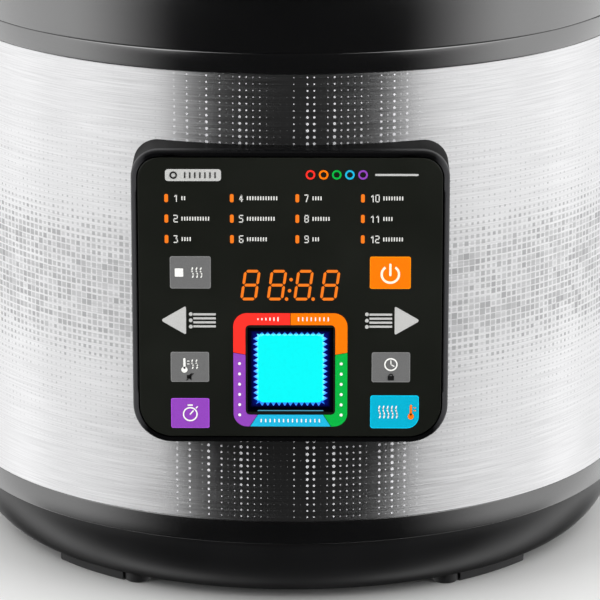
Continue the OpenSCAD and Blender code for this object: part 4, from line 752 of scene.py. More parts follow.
class BaseOperator(bpy.types.Operator):
    """Makes the bowl-shaped base and its rubber feet"""

    bl_idname = "cooker.base"
    bl_label = "Base and feet"

    def execute(self, context):
        low, high = in_mm("base_bowl")
        wall = 2.5
        floor_r = high.x - 13
        opening_r = 92
        knee = low.z + 9.1
        boss_ring_r = 97
        boss_r, bore_r = 4, 1.5
        shell = revolved(
            [
                (opening_r, low.z, 0.6),
                (floor_r, low.z, 0.8),
                (high.x, knee, 15.8),
                (high.x, high.z, 0.3),
                (high.x - wall, high.z),
                (high.x - wall, knee + 0.9, 14.5),
                (floor_r - 0.9, low.z + wall),
                (opening_r, low.z + wall, 0.6),
            ],
            segments=16,
        )
        section = box_points(bore_r, boss_r, low.z + wall - 0.2, low.z + 8)
        spots = ((boss_ring_r, 0), (-boss_ring_r, 0), (0, boss_ring_r), (0, -boss_ring_r))
        bosses = [revolved(section, 24, centre=spot) for spot in spots]
        piece("base_shell", joined(shell, *bosses), "base_plastic", replaced=["base_bowl"])
        self.make_feet()
        return {"FINISHED"}

    def make_feet(self):
        """Four flat arcs, each with a round pad at the end that points to the panel or the back."""
        top = in_mm("feet")[1].z
        ring_r = in_mm("steel_drum")[1].x - 23
        half = 5
        pad_r = 5.5
        pad_angle, arc_from, arc_span = (math.radians(degrees) for degrees in (32, 34, 17))
        arc_section = box_points(ring_r - half, ring_r + half, 0, top, 1.2)
        pad_section = [(0, 0), (pad_r, 0, 1.2), (pad_r, top, 0.3), (0, top)]
        feet = []
        for side in (-1, 1):
            for end in (-1, 1):
                away = -side * end
                first = end * QUARTER_TURN + away * arc_from
                arc = revolved(arc_section, 24, away * arc_span, first, segments=4)
                turn = end * QUARTER_TURN + away * pad_angle
                spot = (ring_r * math.cos(turn), ring_r * math.sin(turn))
                pad = revolved(pad_section, 48, centre=spot, segments=4)
                feet += [arc, pad]
        piece("rubber_feet", joined(*feet), "rubber_black", replaced=["feet"])


class TrimOperator(bpy.types.Operator):
    """Makes the glossy ring under the steel drum, the band over it and the collar"""

    bl_idname = "cooker.trim"
    bl_label = "Trims and collar"

    def execute(self, context):
        drum_low, drum_high = in_mm("steel_drum")
        low, high = in_mm("lower_ring")
        band_low, band_high = in_mm("upper_band")
        edge = context.scene.cooker_sizes.edge / MM
        lower = self.trim(high.x, low.z, drum_low.z, high.z, edge)
        piece("lower_trim_ring", lower, "base_plastic", replaced=["lower_ring"], finish="trim_gloss")
        band = self.trim(high.x, band_high.z, drum_high.z, band_low.z, edge)
        piece("upper_trim_band", band, "gloss_black", replaced=["upper_band"])
        self.make_collar()
        return {"FINISHED"}

    def trim(self, rim_r, face, far, tip, edge):
        """A trim's ring, with a tongue that laps behind the drum's edge."""
        depth = 6
        tongue_r = rim_r - 0.7
        tongue_inner_r = tongue_r - 3
        tip_edge = 0.4
        section = [
            (rim_r - depth, face),
            (rim_r, face, edge),
            (rim_r, far, edge),
            (tongue_r, far),
            (tongue_r, tip, tip_edge),
            (tongue_inner_r, tip, tip_edge),
            (tongue_inner_r, far),
            (rim_r - depth, far),
        ]
        return revolved(section, 256, segments=4)

    def make_collar(self):
        low, high = in_mm("collar")
        inner_r = high.x - 3.5
        shelf_r = 120.5
        shelf_high = high.z - 17
        shelf_low = shelf_high - 4
        section = [
            (inner_r, low.z),
            (high.x, low.z, 0.5),
            (high.x, high.z, 1.5),
            (inner_r, high.z, 0.8),
            (inner_r, shelf_high, 0.6),
            (shelf_r, shelf_high, 0.4),
            (shelf_r, shelf_low, 0.4),
            (inner_r, shelf_low),
        ]
        piece("collar_ring", revolved(section, 256, segments=6), "gloss_black", replaced=["collar"])


# ---- Control panel ----


def panel_box():
    """The panel's left, right, lower and upper edges and its front, in millimetres."""
    low, high = in_mm("panel_housing")
    return low.x, high.x, low.z, high.z, in_mm("front_plate")[0].y


def panel_points(inset):
    """The panel's outline drawn in by an inset: small corners above, larger ones below."""
    left, right, low, high, _ = panel_box()
    return [
        (left + inset, low + inset, LOW_CORNER - inset),
        (right - inset, low + inset, LOW_CORNER - inset),
        (right - inset, high - inset, TOP_CORNER - inset),
        (left + inset, high - inset, TOP_CORNER - inset),
    ]


class PanelOperator(bpy.types.Operator):
    """Makes the control panel's housing with its rim, and the plate that sits in it"""

    bl_idname = "cooker.panel"
    bl_label = "Control panel"

    def execute(self, context):
        front = panel_box()[4]
        frame_w = 2.2
        groove_w = 0.6
        plate_deep = 2
        rim_deep = 4.4
        self.make_shell(frame_w, front + rim_deep, front + plate_deep)
        self.make_rim(frame_w, rim_deep)
        self.make_face(frame_w + groove_w, plate_deep)
        return {"FINISHED"}

    def make_shell(self, frame_w, wall_front, ledge_front):
        """The matt wall back to the drum, the ledge that carries the plate, and four screw bosses."""
        left, right, low, high, _ = panel_box()
        drum_r = in_mm("steel_drum")[1].x + 0.1
        ledge_w = 10
        boss_x = 30
        boss_inset = 7.5
        boss_r, bore_r = 4, 1.5
        boss_deep = 9.2
        wall, rear = self.frame_ring(frame_w, wall_front)
        for corner in rear:
            corner.co.y = -math.sqrt((drum_r * MM) ** 2 - corner.co.x**2)
        ledge = extruded(panel_points(frame_w - 0.4), ledge_front, ledge_front + 2)
        opened(ledge, 0, 2, (left + ledge_w, low + ledge_w), (right - ledge_w, high - ledge_w))
        bosses = []
        for z in (low + boss_inset, high - boss_inset):
            for x in (-boss_x, boss_x):
                boss = revolved(box_points(bore_r, boss_r, 0, boss_deep), 32)
                bosses.append(shifted(boss, x, ledge_front + 1.5, z, -QUARTER_TURN, "X"))
        piece("panel_shell", joined(wall, ledge, *bosses), "panel_plastic", replaced=["panel_housing"])

    def make_rim(self, frame_w, deep):
        """The rim's rounding is twice as deep as it is wide: rounded while squeezed, then drawn out."""
        left, right, low, high, front = panel_box()
        rim, rear = self.frame_ring(frame_w, front)
        for corner in rear:
            corner.co.y = (front + deep / 2) * MM

        def on_the_outside_front(edge):
            middle = middle_of(edge)
            inside = left + 1 < middle.x < right - 1 and low + 1 < middle.z < high - 1
            return abs(middle.y - front) < 0.01 and (not inside or self.on_corner(middle))

        soften(rim, frame_w - 0.15, on_the_outside_front, 60, 7)
        at_front = Matrix.Translation((0, -front * MM, 0))
        bmesh.ops.scale(rim, vec=(1, 2, 1), space=at_front, verts=rim.verts[:])
        piece("panel_rim", rim, "panel_plastic", finish="panel_rim")

    def make_face(self, inset, deep):
        """The plate, with a softened front and the well's opening."""
        front = panel_box()[4]
        room = 0.1
        low, high = in_mm("status_well")
        plate = extruded(panel_points(inset), front, front + deep, 12)
        soften(plate, 0.25, lambda edge: abs(edge.verts[0].co.y - edge.verts[1].co.y) < 1e-6, 60)
        opened(plate, 0, 2, (low.x - room, low.z - room), (high.x + room, high.z + room))
        piece("panel_face", plate, "front_black", replaced=["front_plate"])

    def frame_ring(self, width, y):
        """A closed ring along the panel's outline, from a depth backwards, and its rear vertices."""
        bm = bmesh.new()
        outline(bm, panel_points(0), 12)
        long_edges = [edge for edge in bm.edges if edge.calc_length() > 20 * MM]
        bmesh.ops.subdivide_edges(bm, edges=long_edges, cuts=31, use_grid_fill=False)
        bmesh.ops.translate(bm, verts=bm.verts[:], vec=(0, y * MM, 0))
        inner = bm.faces[:]
        bmesh.ops.inset_region(
            bm, faces=inner, thickness=width * MM, use_even_offset=True, use_boundary=True
        )
        bmesh.ops.delete(bm, geom=inner, context="FACES")
        grown = bmesh.ops.extrude_face_region(bm, geom=bm.faces[:])
        return bm, vertices_in(grown["geom"])

    def on_corner(self, middle):
        """Whether a point lies on the outline's rounded corners rather than on the frame's inner line."""
        _, right, low, high, _ = panel_box()
        top = middle.z > (low + high) / 2
        corner = TOP_CORNER if top else LOW_CORNER
        centre = Vector((right - corner, (high - corner) if top else (low + corner)))
        away = (Vector((abs(middle.x), middle.z)) - centre).length
        return abs(middle.x) > right - LOW_CORNER and away > corner - 1


# ---- Prints ----


def printed(points, segments=6, thick=PRINT):
    """A shape printed on the panel's face."""
    front = panel_box()[4]
    return extruded(points, front - thick, front, segments)


def stroke(first, second, width):
    """A printed line from one point to another, with round ends."""
    a, b = Vector(first), Vector(second)
    along = b - a
    half = width / 2
    bm = printed(box_points(-half, along.length + half, -half, half, half * 0.98), 4)
    shifted(bm, turn=-math.atan2(along.y, along.x), axis="Y")
    return shifted(bm, a.x, 0, a.y)


def strokes(points, width):
    """Printed lines from each point to the next."""
    return [stroke(a, b, width) for a, b in zip(points, points[1:])]


def ticks(first, pitch, count, low, high):
    """A row of upright printed ticks, each half a millimetre wide."""
    starts = [first + place * pitch for place in range(count)]
    return [printed(box_points(x, x + 0.5, low, high, 0.1), 1) for x in starts]


def disc(x, z, radius, steps=24, hole=0.0, turn=FULL_TURN, start=0.0):
    """A printed dot, a ring, or part of one, turned from the right."""
    bm = revolved(box_points(hole, radius, 0, PRINT), steps, turn, start)
    shifted(bm, turn=QUARTER_TURN, axis="X")
    return shifted(bm, x, panel_box()[4], z)


def overprinted(parts):
    """Prints joined and laid over another print."""
    return shifted(joined(*parts), y=-PRINT)


class KeysOperator(bpy.types.Operator):
    """Prints the six touch keys, each in its own ink, with plain symbols on them"""

    bl_idname = "cooker.keys"
    bl_label = "Touch keys"

    def execute(self, context):
        low, high = in_mm("touch_keys")
        base = panel_box()[2]
        edge = -low.x
        top_low = base + 64.6
        top_w = 16.3
        mid_low = base + 25.7
        key_w, key_h = 15.4, 12.5
        warm_w, warm_h = 19.5, 13.8
        keys = {
            "key_stop": ("grey", -edge, top_w - edge, top_low, high.z),
            "key_power": ("orange", edge - top_w, edge, top_low, high.z),
            "key_heat": ("grey", -edge, key_w - edge, mid_low, mid_low + key_h),
            "key_clock": ("grey", edge - key_w, edge, mid_low, mid_low + key_h),
            "key_timer": ("purple", -edge, key_w - edge, low.z, low.z + key_h),
            "key_warm": ("cyan", high.x - warm_w, high.x, low.z, low.z + warm_h),
        }
        for name, key in keys.items():
            self.print_key(name, *key)
        middles = {
            name: ((left + right) / 2, (bottom + top) / 2)
            for name, (_, left, right, bottom, top) in keys.items()
        }
        self.print_symbols(middles)
        return {"FINISHED"}

    def print_key(self, name, ink, left, right, bottom, top):
        """A key's fill on a slightly larger and paler rim; the warm key has one large corner."""
        rim_w = 0.35
        corner, low_right = (1.0, 4.8) if name == "key_warm" else (0.8, 0.8)
        cuts = (corner, low_right, corner, corner)
        rim = [(x, z, cut) for (x, z, _), cut in zip(box_points(left, right, bottom, top), cuts)]
        inner = box_points(left + rim_w, right - rim_w, bottom + rim_w, top - rim_w)
        fill = [(x, z, max(cut - rim_w, 0.3)) for (x, z, _), cut in zip(inner, cuts)]
        replaced = ["touch_keys"] if name == "key_stop" else ()
        piece(name, printed(fill), "key_print", replaced=replaced, finish=f"ink_{ink}")
        piece(f"{name}_rim", printed(rim, thick=0.12), "key_print", finish=f"ink_{ink}_pale")

    def print_symbols(self, middles):
        """Plain symbols, drawn about the middles of their keys."""
        x, z = middles["key_power"]
        arc = math.radians(290)
        power = [
            disc(x, z - 0.6, 3.9, 48, 3.0, arc, QUARTER_TURN + (FULL_TURN - arc) / 2),
            stroke((x, z - 0.9), (x, z + 3.4), 0.9),
        ]
        self.symbol("power_symbol", power, "cream")

        x, z = middles["key_stop"]
        stop = [printed(box_points(x - 6.2, x - 2.8, z - 1.7, z + 1.7, 0.3))]
        stop += self.waves(x + 2.6, z, 3, 1.9)
        self.symbol("stop_symbol", stop, "white")

        x, z = middles["key_heat"]
        heat = self.thermometer(x - 2.2, z + 0.9) + self.waves(x + 1.9, z + 1.2, 2, 1.7)
        self.symbol("heat_symbol", heat, "white")
        horn = ((-1.2, -4.7), (-0.4, -4.7), (0.6, -5.5), (0.6, -2.6), (-0.4, -3.4), (-1.2, -3.4))
        mute = [
            printed([(x + across, z + up) for across, up in horn]),
            stroke((x - 1.3, z - 5.5), (x + 1.3, z - 2.7), 0.3),
        ]
        self.symbol("mute_symbol", mute, "black")

        x, z = middles["key_clock"]
        hands = strokes([(x, z + 2.8), (x, z + 1.2), (x + 1.2, z + 0.5)], 0.45)
        self.symbol("clock_symbol", [disc(x, z + 1.2, 2.7, 40, 2.15), *hands], "white")
        padlock = [
            printed(box_points(x - 1.25, x + 1.25, z - 5.4, z - 3.6, 0.2)),
            disc(x, z - 3.6, 0.95, 24, 0.6, math.pi),
        ]
        self.symbol("lock_symbol", padlock, "black")

        x, z = middles["key_timer"]
        timer = [
            disc(x, z - 0.4, 3.0, 40, 2.45),
            stroke((x, z - 0.4), (x + 1.2, z + 1.0), 0.5),
            stroke((x - 0.8, z + 3.4), (x + 0.8, z + 3.4), 0.6),
            stroke((x + 2.4, z + 2.2), (x + 2.9, z + 2.7), 0.5),
        ]
        self.symbol("timer_symbol", timer, "white")

        x, z = middles["key_warm"]
        self.symbol("warm_symbol", self.waves(x - 2.6, z, 5, 2.4), "white")
        self.symbol("warm_level", self.thermometer(x + 6.6, z + 0.2), "orange")

    def thermometer(self, x, z):
        """A tube with its bulb, and two ticks of a scale beside it."""
        return [
            stroke((x, z - 1.2), (x, z + 2.4), 0.9),
            disc(x, z - 2.0, 1.25),
            stroke((x + 1.3, z + 1.6), (x + 1.9, z + 1.6), 0.35),
            stroke((x + 1.3, z + 0.4), (x + 1.9, z + 0.4), 0.35),
        ]

    def waves(self, x, z, count, half):
        """Upright wavy lines side by side, for warmth."""
        bend = 0.4
        pitch = 1.7
        parts = []
        for number in range(count):
            middle = x + (number - (count - 1) / 2) * pitch
            bends = [
                (middle, z - half),
                (middle + bend, z - half / 2),
                (middle, z),
                (middle - bend, z + half / 2),
                (middle, z + half),
            ]
            parts += strokes(bends, 0.5)
        return parts

    def symbol(self, name, parts, ink):
        """One symbol, printed over its key."""
        piece(name, overprinted(parts), "key_print", finish=f"ink_{ink}")


class MarksOperator(bpy.types.Operator):
    """Prints the programme grid with its lamps, the arrows and the marks along the top"""

    bl_idname = "cooker.marks"
    bl_label = "Programme marks"

    def execute(self, context):
        low, high = in_mm("program_lights")
        lamp_w = 1.9
        lamp_h = 3.7
        trim = 0.2
        half_w, half_h = lamp_w / 2 - trim, lamp_h / 2 - trim
        tick_counts = ((2, 11, 4), (12, 11, 8), (4, 7, 3), (8, 4, 8))
        lamps = []
        signs = []
        for column, counts in enumerate(tick_counts):
            for row, count in enumerate(counts):
                x = low.x + lamp_w / 2 + column * (high.x - low.x - lamp_w) / 3
                z = high.z - lamp_h / 2 - row * (high.z - low.z - lamp_h) / 2
                lamps.append(printed(box_points(x - half_w, x + half_w, z - half_h, z + half_h, 0.6)))
                signs += self.label(column * len(counts) + row + 1, x + 3.0, z, count)
        piece("program_lamps", joined(*lamps), "lit_orange", replaced=["program_lights"])
        piece("program_numbers", joined(*signs), "print_white", replaced=["program_marks"])
        self.arrows()
        self.header()
        return {"FINISHED"}

    def label(self, number, x, z, count):
        """A number from straight strokes, then a row of ticks."""
        tall = 2.7
        wide = 1.35
        step = wide + 0.75
        lines = {
            "0": [(0, 0), (1, 0), (1, 2), (0, 2), (0, 0)],
            "1": [(0.3, 1.5), (0.8, 2), (0.8, 0)],
            "2": [(0, 2), (1, 2), (1, 1), (0, 1), (0, 0), (1, 0)],
            "3": [(0, 2), (1, 2), (0.5, 1.15), (1, 1), (1, 0), (0, 0)],
            "4": [(0.7, 0), (0.7, 2), (0, 0.6), (1, 0.6)],
            "5": [(1, 2), (0, 2), (0, 1.1), (1, 1.1), (1, 0), (0, 0)],
            "6": [(1, 2), (0, 2), (0, 0), (1, 0), (1, 1), (0, 1)],
            "7": [(0, 2), (1, 2), (0.4, 0)],
            "8": [(0, 1), (0, 0), (1, 0), (1, 2), (0, 2), (0, 1), (1, 1)],
            "9": [(0, 0), (1, 0), (1, 2), (0, 2), (0, 1), (1, 1)],
        }
        parts = []
        for sign in str(number):
            path = [(x + across * wide, z + (up / 2 - 0.5) * tall) for across, up in lines[sign]]
            parts += strokes(path, 0.38)
            x += step
        return parts + ticks(x + 0.9, 1.05, count, z - 0.8, z + 0.8)

    def arrows(self):
        """A triangle, four lines and three dots on each side; the dots stand left of the lines on both."""
        low, high = in_mm("arrow_marks")
        middle = (low.z + high.z) / 2
        half = 6.0
        base = high.x - 10.2
        line_half = 0.42
        line_pitch = 1.66
        dot_pitch = 2.6
        parts = []
        for side, left, right in ((-1, -38.8, -29.8), (1, 31.6, 40.7)):
            ends = [
                (side * base, middle - half, 0.9),
                (side * high.x, middle, 1.3),
                (side * base, middle + half, 0.9),
            ]
            parts.append(printed(ends[::side]))
            for line in range(4):
                z = middle + (line - 1.5) * line_pitch
                parts.append(printed(box_points(left, right, z - line_half, z + line_half, 0.1), 2))
            for dot in (-1, 0, 1):
                parts.append(disc(left - 1.0, middle + dot * dot_pitch, 0.75))
        piece("arrow_prints", joined(*parts), "print_grey", replaced=["arrow_marks"])

    def header(self):
        """A plain grey strip on the left and five coloured rings with a line on the right."""
        z = panel_box()[2] + 112
        dot_pitch = 5.2
        strip = printed(box_points(-49.6, -27.4, z - 3.2, z + 1.6, 1.2))
        piece("header_strip", strip, "print_grey")
        signs = [disc(-46.3, z - 0.8, 1.5, 32, 0.9), *ticks(-42, 2, 7, z - 2.0, z + 0.4)]
        piece("header_signs", overprinted(signs), "print_grey", finish="ink_black")
        for place, ink in enumerate(("red", "orange", "green", "blue", "purple")):
            dot = disc(8.0 + place * dot_pitch, z - 0.6, 1.9, 40, 1.2)
            piece(f"header_dot_{ink}", dot, "print_white", finish=f"ink_{ink}")
        line = printed(box_points(33.6, 50.8, z - 1.0, z - 0.2, 0.39))
        piece("header_line", line, "print_grey")


class RingOperator(bpy.types.Operator):
    """Prints the five-coloured ring and makes the status light with its faceted edge"""

    bl_idname = "cooker.ring"
    bl_label = "Colour ring and status light"

    def execute(self, context):
        low, high = in_mm("colour_ring")
        inner_x = high.x - RING_SIDE
        inner_low, inner_high = low.z + RING_BAND, high.z - RING_BAND

        def window_corner(edge):
            first, second = (vert.co / MM for vert in edge.verts)
            return abs(first.y - second.y) > 0.1 and abs(abs(first.x) - inner_x) < 0.01

        for ink, cuts in self.shares(low, high).items():
            band = printed(box_points(low.x, high.x, low.z, high.z, 5.5), 10)
            opened(band, 0, 2, (-inner_x, inner_low), (inner_x, inner_high))
            soften(band, 1.8, window_corner, 60, 6)
            for spot, normal in cuts:
                bmesh.ops.bisect_plane(
                    band,
                    geom=band.verts[:] + band.edges[:] + band.faces[:],
                    plane_co=spot * MM,
                    plane_no=normal,
                    clear_inner=True,
                )
                open_edges = [edge for edge in band.edges if edge.is_boundary]
                bmesh.ops.holes_fill(band, edges=open_edges, sides=0)
            replaced = ["colour_ring"] if ink == "orange" else ()
            piece(f"ring_{ink}", band, "ring_print", replaced=replaced, finish=f"ink_{ink}")
        self.ring_marks(low, high)
        self.status_light()
        return {"FINISHED"}

    def shares(self, low, high):
        """The planes that cut each ink's share out of the ring, each a spot and the side that stays."""
        half_gap = 0.12
        side_rise = 0.9
        foot_slant = 3.1
        middle = Vector((0, 0, 0))
        right = Vector((1, 0, 0))
        split = Vector((high.x - RING_SIDE, 0, low.z + 30.1))
        above = Vector((-side_rise, 0, RING_SIDE)).normalized()
        foot = Vector((13.2, 0, low.z + RING_BAND))
        below = Vector((-RING_BAND, 0, -foot_slant)).normalized()

        def kept(spot, normal):
            return spot + normal * half_gap, normal

        def mirrored(cut):
            return tuple(Vector((-vector.x, vector.y, vector.z)) for vector in cut)

        orange = [kept(middle, right), kept(split, above)]
        green = [(middle, right), kept(split, -above), kept(foot, -below)]
        return {
            "orange": orange,
            "red": [mirrored(cut) for cut in orange],
            "green": green,
            "purple": [mirrored(cut) for cut in green],
            "blue": [kept(foot, below), mirrored(kept(foot, below))],
        }

    def ring_marks(self, low, high):
        """Plain ticks and dots on the ring's five shares."""
        top = high.z - 2.4
        dot_x = high.x - 2.45
        dot_top = low.z + 26.4
        dot_pitch = 4.3
        parts = []
        for place in range(6):
            half = 0.35 + 0.1 * place
            parts += ticks(-13.2 + 1.6 * place, 0, 1, top - half, top + half)
        parts += ticks(3.0, 1.7, 8, top - 0.8, top + 0.8)
        for side in (-1, 1):
            parts += [disc(side * dot_x, dot_top - place * dot_pitch, 0.6) for place in range(6)]
        parts += ticks(-12, 1.8, 14, low.z + 1.8, low.z + 3.2)
        piece("ring_ticks", overprinted(parts), "ring_print", finish="ink_white")

    def status_light(self):
        """The lit plate, three kinds of teeth round it and a painted glint, a dim line under it."""
        low, high = in_mm("status_lens")
        front = panel_box()[4]
        side_reach, low_reach, top_reach = 2.1, 1.7, 1.3
        left, right = low.x + side_reach, high.x - side_reach
        bottom, top = low.z + low_reach, high.z - top_reach
        plate = extruded(box_points(left, right, bottom, top, 2.0), low.y, high.y, 6)
        face = (low.y + 0.2) * MM
        soften(plate, 0.3, lambda edge: max(vert.co.y for vert in edge.verts) < face, 60, 2)
        piece("light_plate", plate, "lens_cyan", replaced=["status_lens"], finish="light_plate")

        # Each side: quarter turns from the top, distance out, reach of a tooth, and its start and end
        rows = {
            "light_teeth_top": ("light_teeth_pale", [(0, top, top_reach, left, right)]),
            "light_teeth": (
                "light_teeth",
                [(1, -left, side_reach, bottom, top), (3, right, side_reach, -top, -bottom)],
            ),
            "light_teeth_low": ("light_teeth_low", [(2, -bottom, low_reach, -right, -left)]),
        }
        for name, (finish, sides) in rows.items():
            teeth = []
            for side in sides:
                teeth += self.teeth_along(*side)
            row = shifted(shifted(joined(*teeth), turn=QUARTER_TURN, axis="X"), y=high.y - 0.05)
            piece(name, row, "lens_cyan", finish=finish, smooth_under=5)

        well_low = in_mm("status_well")[0].z
        # A painted glint: a thin strip in front of the well that stands in for the light caught along its
        # lower edge
        glint = box_points(-13.2, 13.2, well_low + 0.3, well_low + 0.65)
        piece("well_painted_glint", extruded(glint, front + 0.05, front + 0.25), "lens_cyan", finish="painted_edge_glint")

    def teeth_along(self, quarter, out, reach, start, end):
        """A row of flat four-sided teeth; the rows above and below have one more at each corner."""
        level = quarter % 2 == 0
        count = 11 if level else 12
        pitch = (end - start - 0.8) / count
        spots = [(start + 0.4 + (number + 0.5) * pitch, out, 0) for number in range(count)]
        if level:
            spots += [(start + 0.3, out - 0.3, 45), (end - 0.3, out - 0.3, -45)]
        teeth = []
        for along, away, tilt in spots:
            tooth = bmesh.new()
            bmesh.ops.create_cone(
                tooth,
                cap_ends=True,
                cap_tris=False,
                segments=4,
                radius1=pitch / 2 * MM,
                radius2=0,
                depth=0.9 * MM,
            )
            wide = 0.5 if tilt else 1
            bmesh.ops.scale(tooth, verts=tooth.verts[:], vec=(wide, 2 * reach / pitch, 1))
            shifted(tooth, turn=math.radians(tilt))
            shifted(tooth, along, away, 0.45)
            teeth.append(shifted(tooth, turn=quarter * QUARTER_TURN))
        return teeth


# ---- Handles and lid ----


class SideHandlesOperator(bpy.types.Operator):
    """Makes the two side handles with their finger slots"""

    bl_idname = "cooker.side_handles"
    bl_label = "Side handles"

    def execute(self, context):
        # The left handle is the right one mirrored
        for name, side in (("handle_right", 1), ("handle_left", -1)):
            handle = self.make_handle()
            bmesh.ops.scale(handle, verts=handle.verts[:], vec=(side, 1, 1))
            piece(f"side_{name}", handle, "handle_black", replaced=[name])
        return {"FINISHED"}

    def make_handle(self):
        """The right handle, fitted to the collar, with a slot that has round corners."""
        low, high = in_mm("handle_right")
        root_r = in_mm("collar")[1].x + 0.1
        corner = 18
        slot_half = 32
        slot = (high.x - 23, high.x - 9)

        def at_root(vert):
            return vert.co.x < (low.x + 0.5) * MM

        bm = bmesh.new()
        plan = [(low.x, low.y), (high.x, low.y, corner), (high.x, high.y, corner), (low.x, high.y)]
        outline(bm, plan, 14)
        inner = [edge for edge in bm.edges if all(at_root(vert) for vert in edge.verts)]
        bmesh.ops.subdivide_edges(bm, edges=inner, cuts=31, use_grid_fill=False)
        for vert in bm.verts:
            if at_root(vert):
                vert.co.x = math.sqrt((root_r * MM) ** 2 - vert.co.z**2)
        laid(thickened(bm, low.z, high.z))
        opened(bm, 0, 1, (slot[0], -slot_half), (slot[1], slot_half))

        def slot_corner(edge):
            spot = edge.verts[0].co / MM
            upright = abs(edge.verts[0].co.z - edge.verts[1].co.z) > 10 * MM
            at_end = abs(abs(spot.y) - slot_half) < 0.01
            return upright and at_end and min(abs(spot.x - x) for x in slot) < 0.01

        rounded(bm, [edge for edge in bm.edges if slot_corner(edge)], 5.5, 8)
        bmesh.ops.recalc_face_normals(bm, faces=bm.faces[:])

        def free_edge(edge):
            middle = middle_of(edge)
            level = abs(edge.verts[0].co.z - edge.verts[1].co.z) < 1e-6
            outside = math.hypot(middle.x, middle.y) > root_r + 0.6
            return level and outside and abs(middle.y) < high.y + 1

        return soften(bm, 2.2, free_edge, segments=5)


def dome_values():
    """The lid cover's radius, its top, its lower edge, and the radius of its dome, in millimetres."""
    low, high = in_mm("lid_cover")
    edge = 8
    rise = high.z - low.z - edge
    return high.x, high.z, low.z, (high.x**2 + rise**2) / (2 * rise)


def dome_height(distance):
    """The dome's height at a distance from the lid's middle, in millimetres."""
    _, top, _, dome = dome_values()
    return top - dome + math.sqrt(dome**2 - distance**2)


def upright_middle(node_name):
    """The X and Y of a node's middle, in millimetres."""
    low, high = in_mm(node_name)
    return (low.x + high.x) / 2, (low.y + high.y) / 2


class LidOperator(bpy.types.Operator):
    """Makes the lid's glossy cover with its plinth, and the lid's handle"""

    bl_idname = "cooker.lid"
    bl_label = "Lid cover and handle"

    def execute(self, context):
        bore_r = 4.6
        plinth_r = 19
        valve = upright_middle("valve_weight")
        pin = upright_middle("float_seal")
        seat = in_mm("valve_weight")[0].z - 0.5
        root = seat - 6
        cover = cut_through(self.make_dome(), ((*pin, 4.5), (*valve, 5)))
        section = [(bore_r, root), (plinth_r, root), (plinth_r, seat, 1.2), (bore_r, seat, 0.3)]
        plinth = revolved(section, 96, centre=valve)
        piece("lid_shell", joined(cover, plinth), "lid_black", "lid", ["lid_cover"])
        self.make_handle()
        self.make_float_ring(pin)
        return {"FINISHED"}

    def make_dome(self):
        """A domed shell with a rounded rim, drawn as one closed line and spun."""
        reach, top, foot, dome = dome_values()
        wall = 3
        edge = 3
        centre = top - dome
        turn = math.asin((reach - edge) / (dome - edge))
        inner_turn = math.asin((reach - wall) / (dome - wall))
        shoulder = centre + (dome - edge) * math.cos(turn)
        bm = bmesh.new()
        last = bm.verts.new((0, 0, top * MM))
        last = arc_on(bm, last, centre, turn, 26)
        last = arc_on(bm, last, shoulder, QUARTER_TURN - turn, 8, x=reach - edge)
        last = line_on(
            bm,
            last,
            (reach, foot + 0.5),
            (reach - 0.5, foot),
            (reach - wall, foot),
            (reach - wall, shoulder - 1),
            (reach - wall, centre + (dome - wall) * math.cos(inner_turn)),
        )
        arc_on(bm, last, centre, -inner_turn, 20)
        return lathed(bm, 256)

    def make_float_ring(self, pin):
        """A low collar round the float pin."""
        inner_r, outer_r = 4.5, 7
        dome = dome_height(math.hypot(*pin))
        low, high = dome - 1, dome + 0.8
        section = [(inner_r, low), (outer_r, low), (outer_r, high, 0.5), (inner_r, high, 0.3)]
        ring = revolved(section, 64, centre=pin)
        piece("float_collar", ring, "handle_black", "lid", finish="trim_gloss")

    def make_handle(self):
        """A bridge over the lid whose feet follow the dome."""
        low, high = in_mm("lid_handle")
        top = in_mm("lid_cover")[1].z
        half = high.x + 0.4
        gap = 42
        gap_top = high.z - 13
        shoulder = half - 16.3
        bm = bmesh.new()
        outline(
            bm,
            [
                (-half, low.z),
                (-gap, top - 2),
                (-gap, gap_top, 8),
                (gap, gap_top, 8),
                (gap, top - 2),
                (half, low.z),
                (shoulder, high.z, 9),
                (-shoulder, high.z, 9),
            ],
            10,
        )

        def at_foot(vert):
            return vert.co.z < (top + 1) * MM

        soles = [
            edge
            for edge in bm.edges
            if all(at_foot(vert) for vert in edge.verts)
            and abs(edge.verts[0].co.x - edge.verts[1].co.x) > 5 * MM
        ]
        bmesh.ops.subdivide_edges(bm, edges=soles, cuts=11, use_grid_fill=False)
        thickened(bm, low.y, high.y)
        for vert in bm.verts:
            if at_foot(vert):
                vert.co.z = (dome_height(math.hypot(vert.co.x, vert.co.y) / MM) + 0.1) * MM

        def free_edge(edge):
            same_side = abs(edge.verts[0].co.y - edge.verts[1].co.y) < 1e-6
            return same_side and max(vert.co.z for vert in edge.verts) > (top + 2) * MM

        soften(bm, 3.4, free_edge, segments=6)
        piece("lid_grip", bm, "handle_black", "lid", ["lid_handle"])


def cut_through(bm, holes):
    """Drills upright holes, each given by its place and radius in millimetres, through the lid."""
    bmesh.ops.recalc_face_normals(bm, faces=bm.faces[:])
    block = linked_object("drilled", bm)
    drill = bmesh.new()
    for x, y, radius in holes:
        bmesh.ops.create_cone(
            drill,
            cap_ends=True,
            segments=48,
            radius1=radius * MM,
            radius2=radius * MM,
            depth=60 * MM,
            matrix=Matrix.Translation((x * MM, y * MM, 280 * MM)),
        )
    tool = linked_object("drill", drill)
    cut = block.modifiers.new("cut", "BOOLEAN")
    cut.operation = "DIFFERENCE"
    cut.solver = "EXACT"
    cut.object = tool
    result = bmesh.new()
    result.from_object(block, bpy.context.evaluated_depsgraph_get())
    for item in (block, tool):
        mesh = item.data
        bpy.data.objects.remove(item)
        bpy.data.meshes.remove(mesh)
    return result


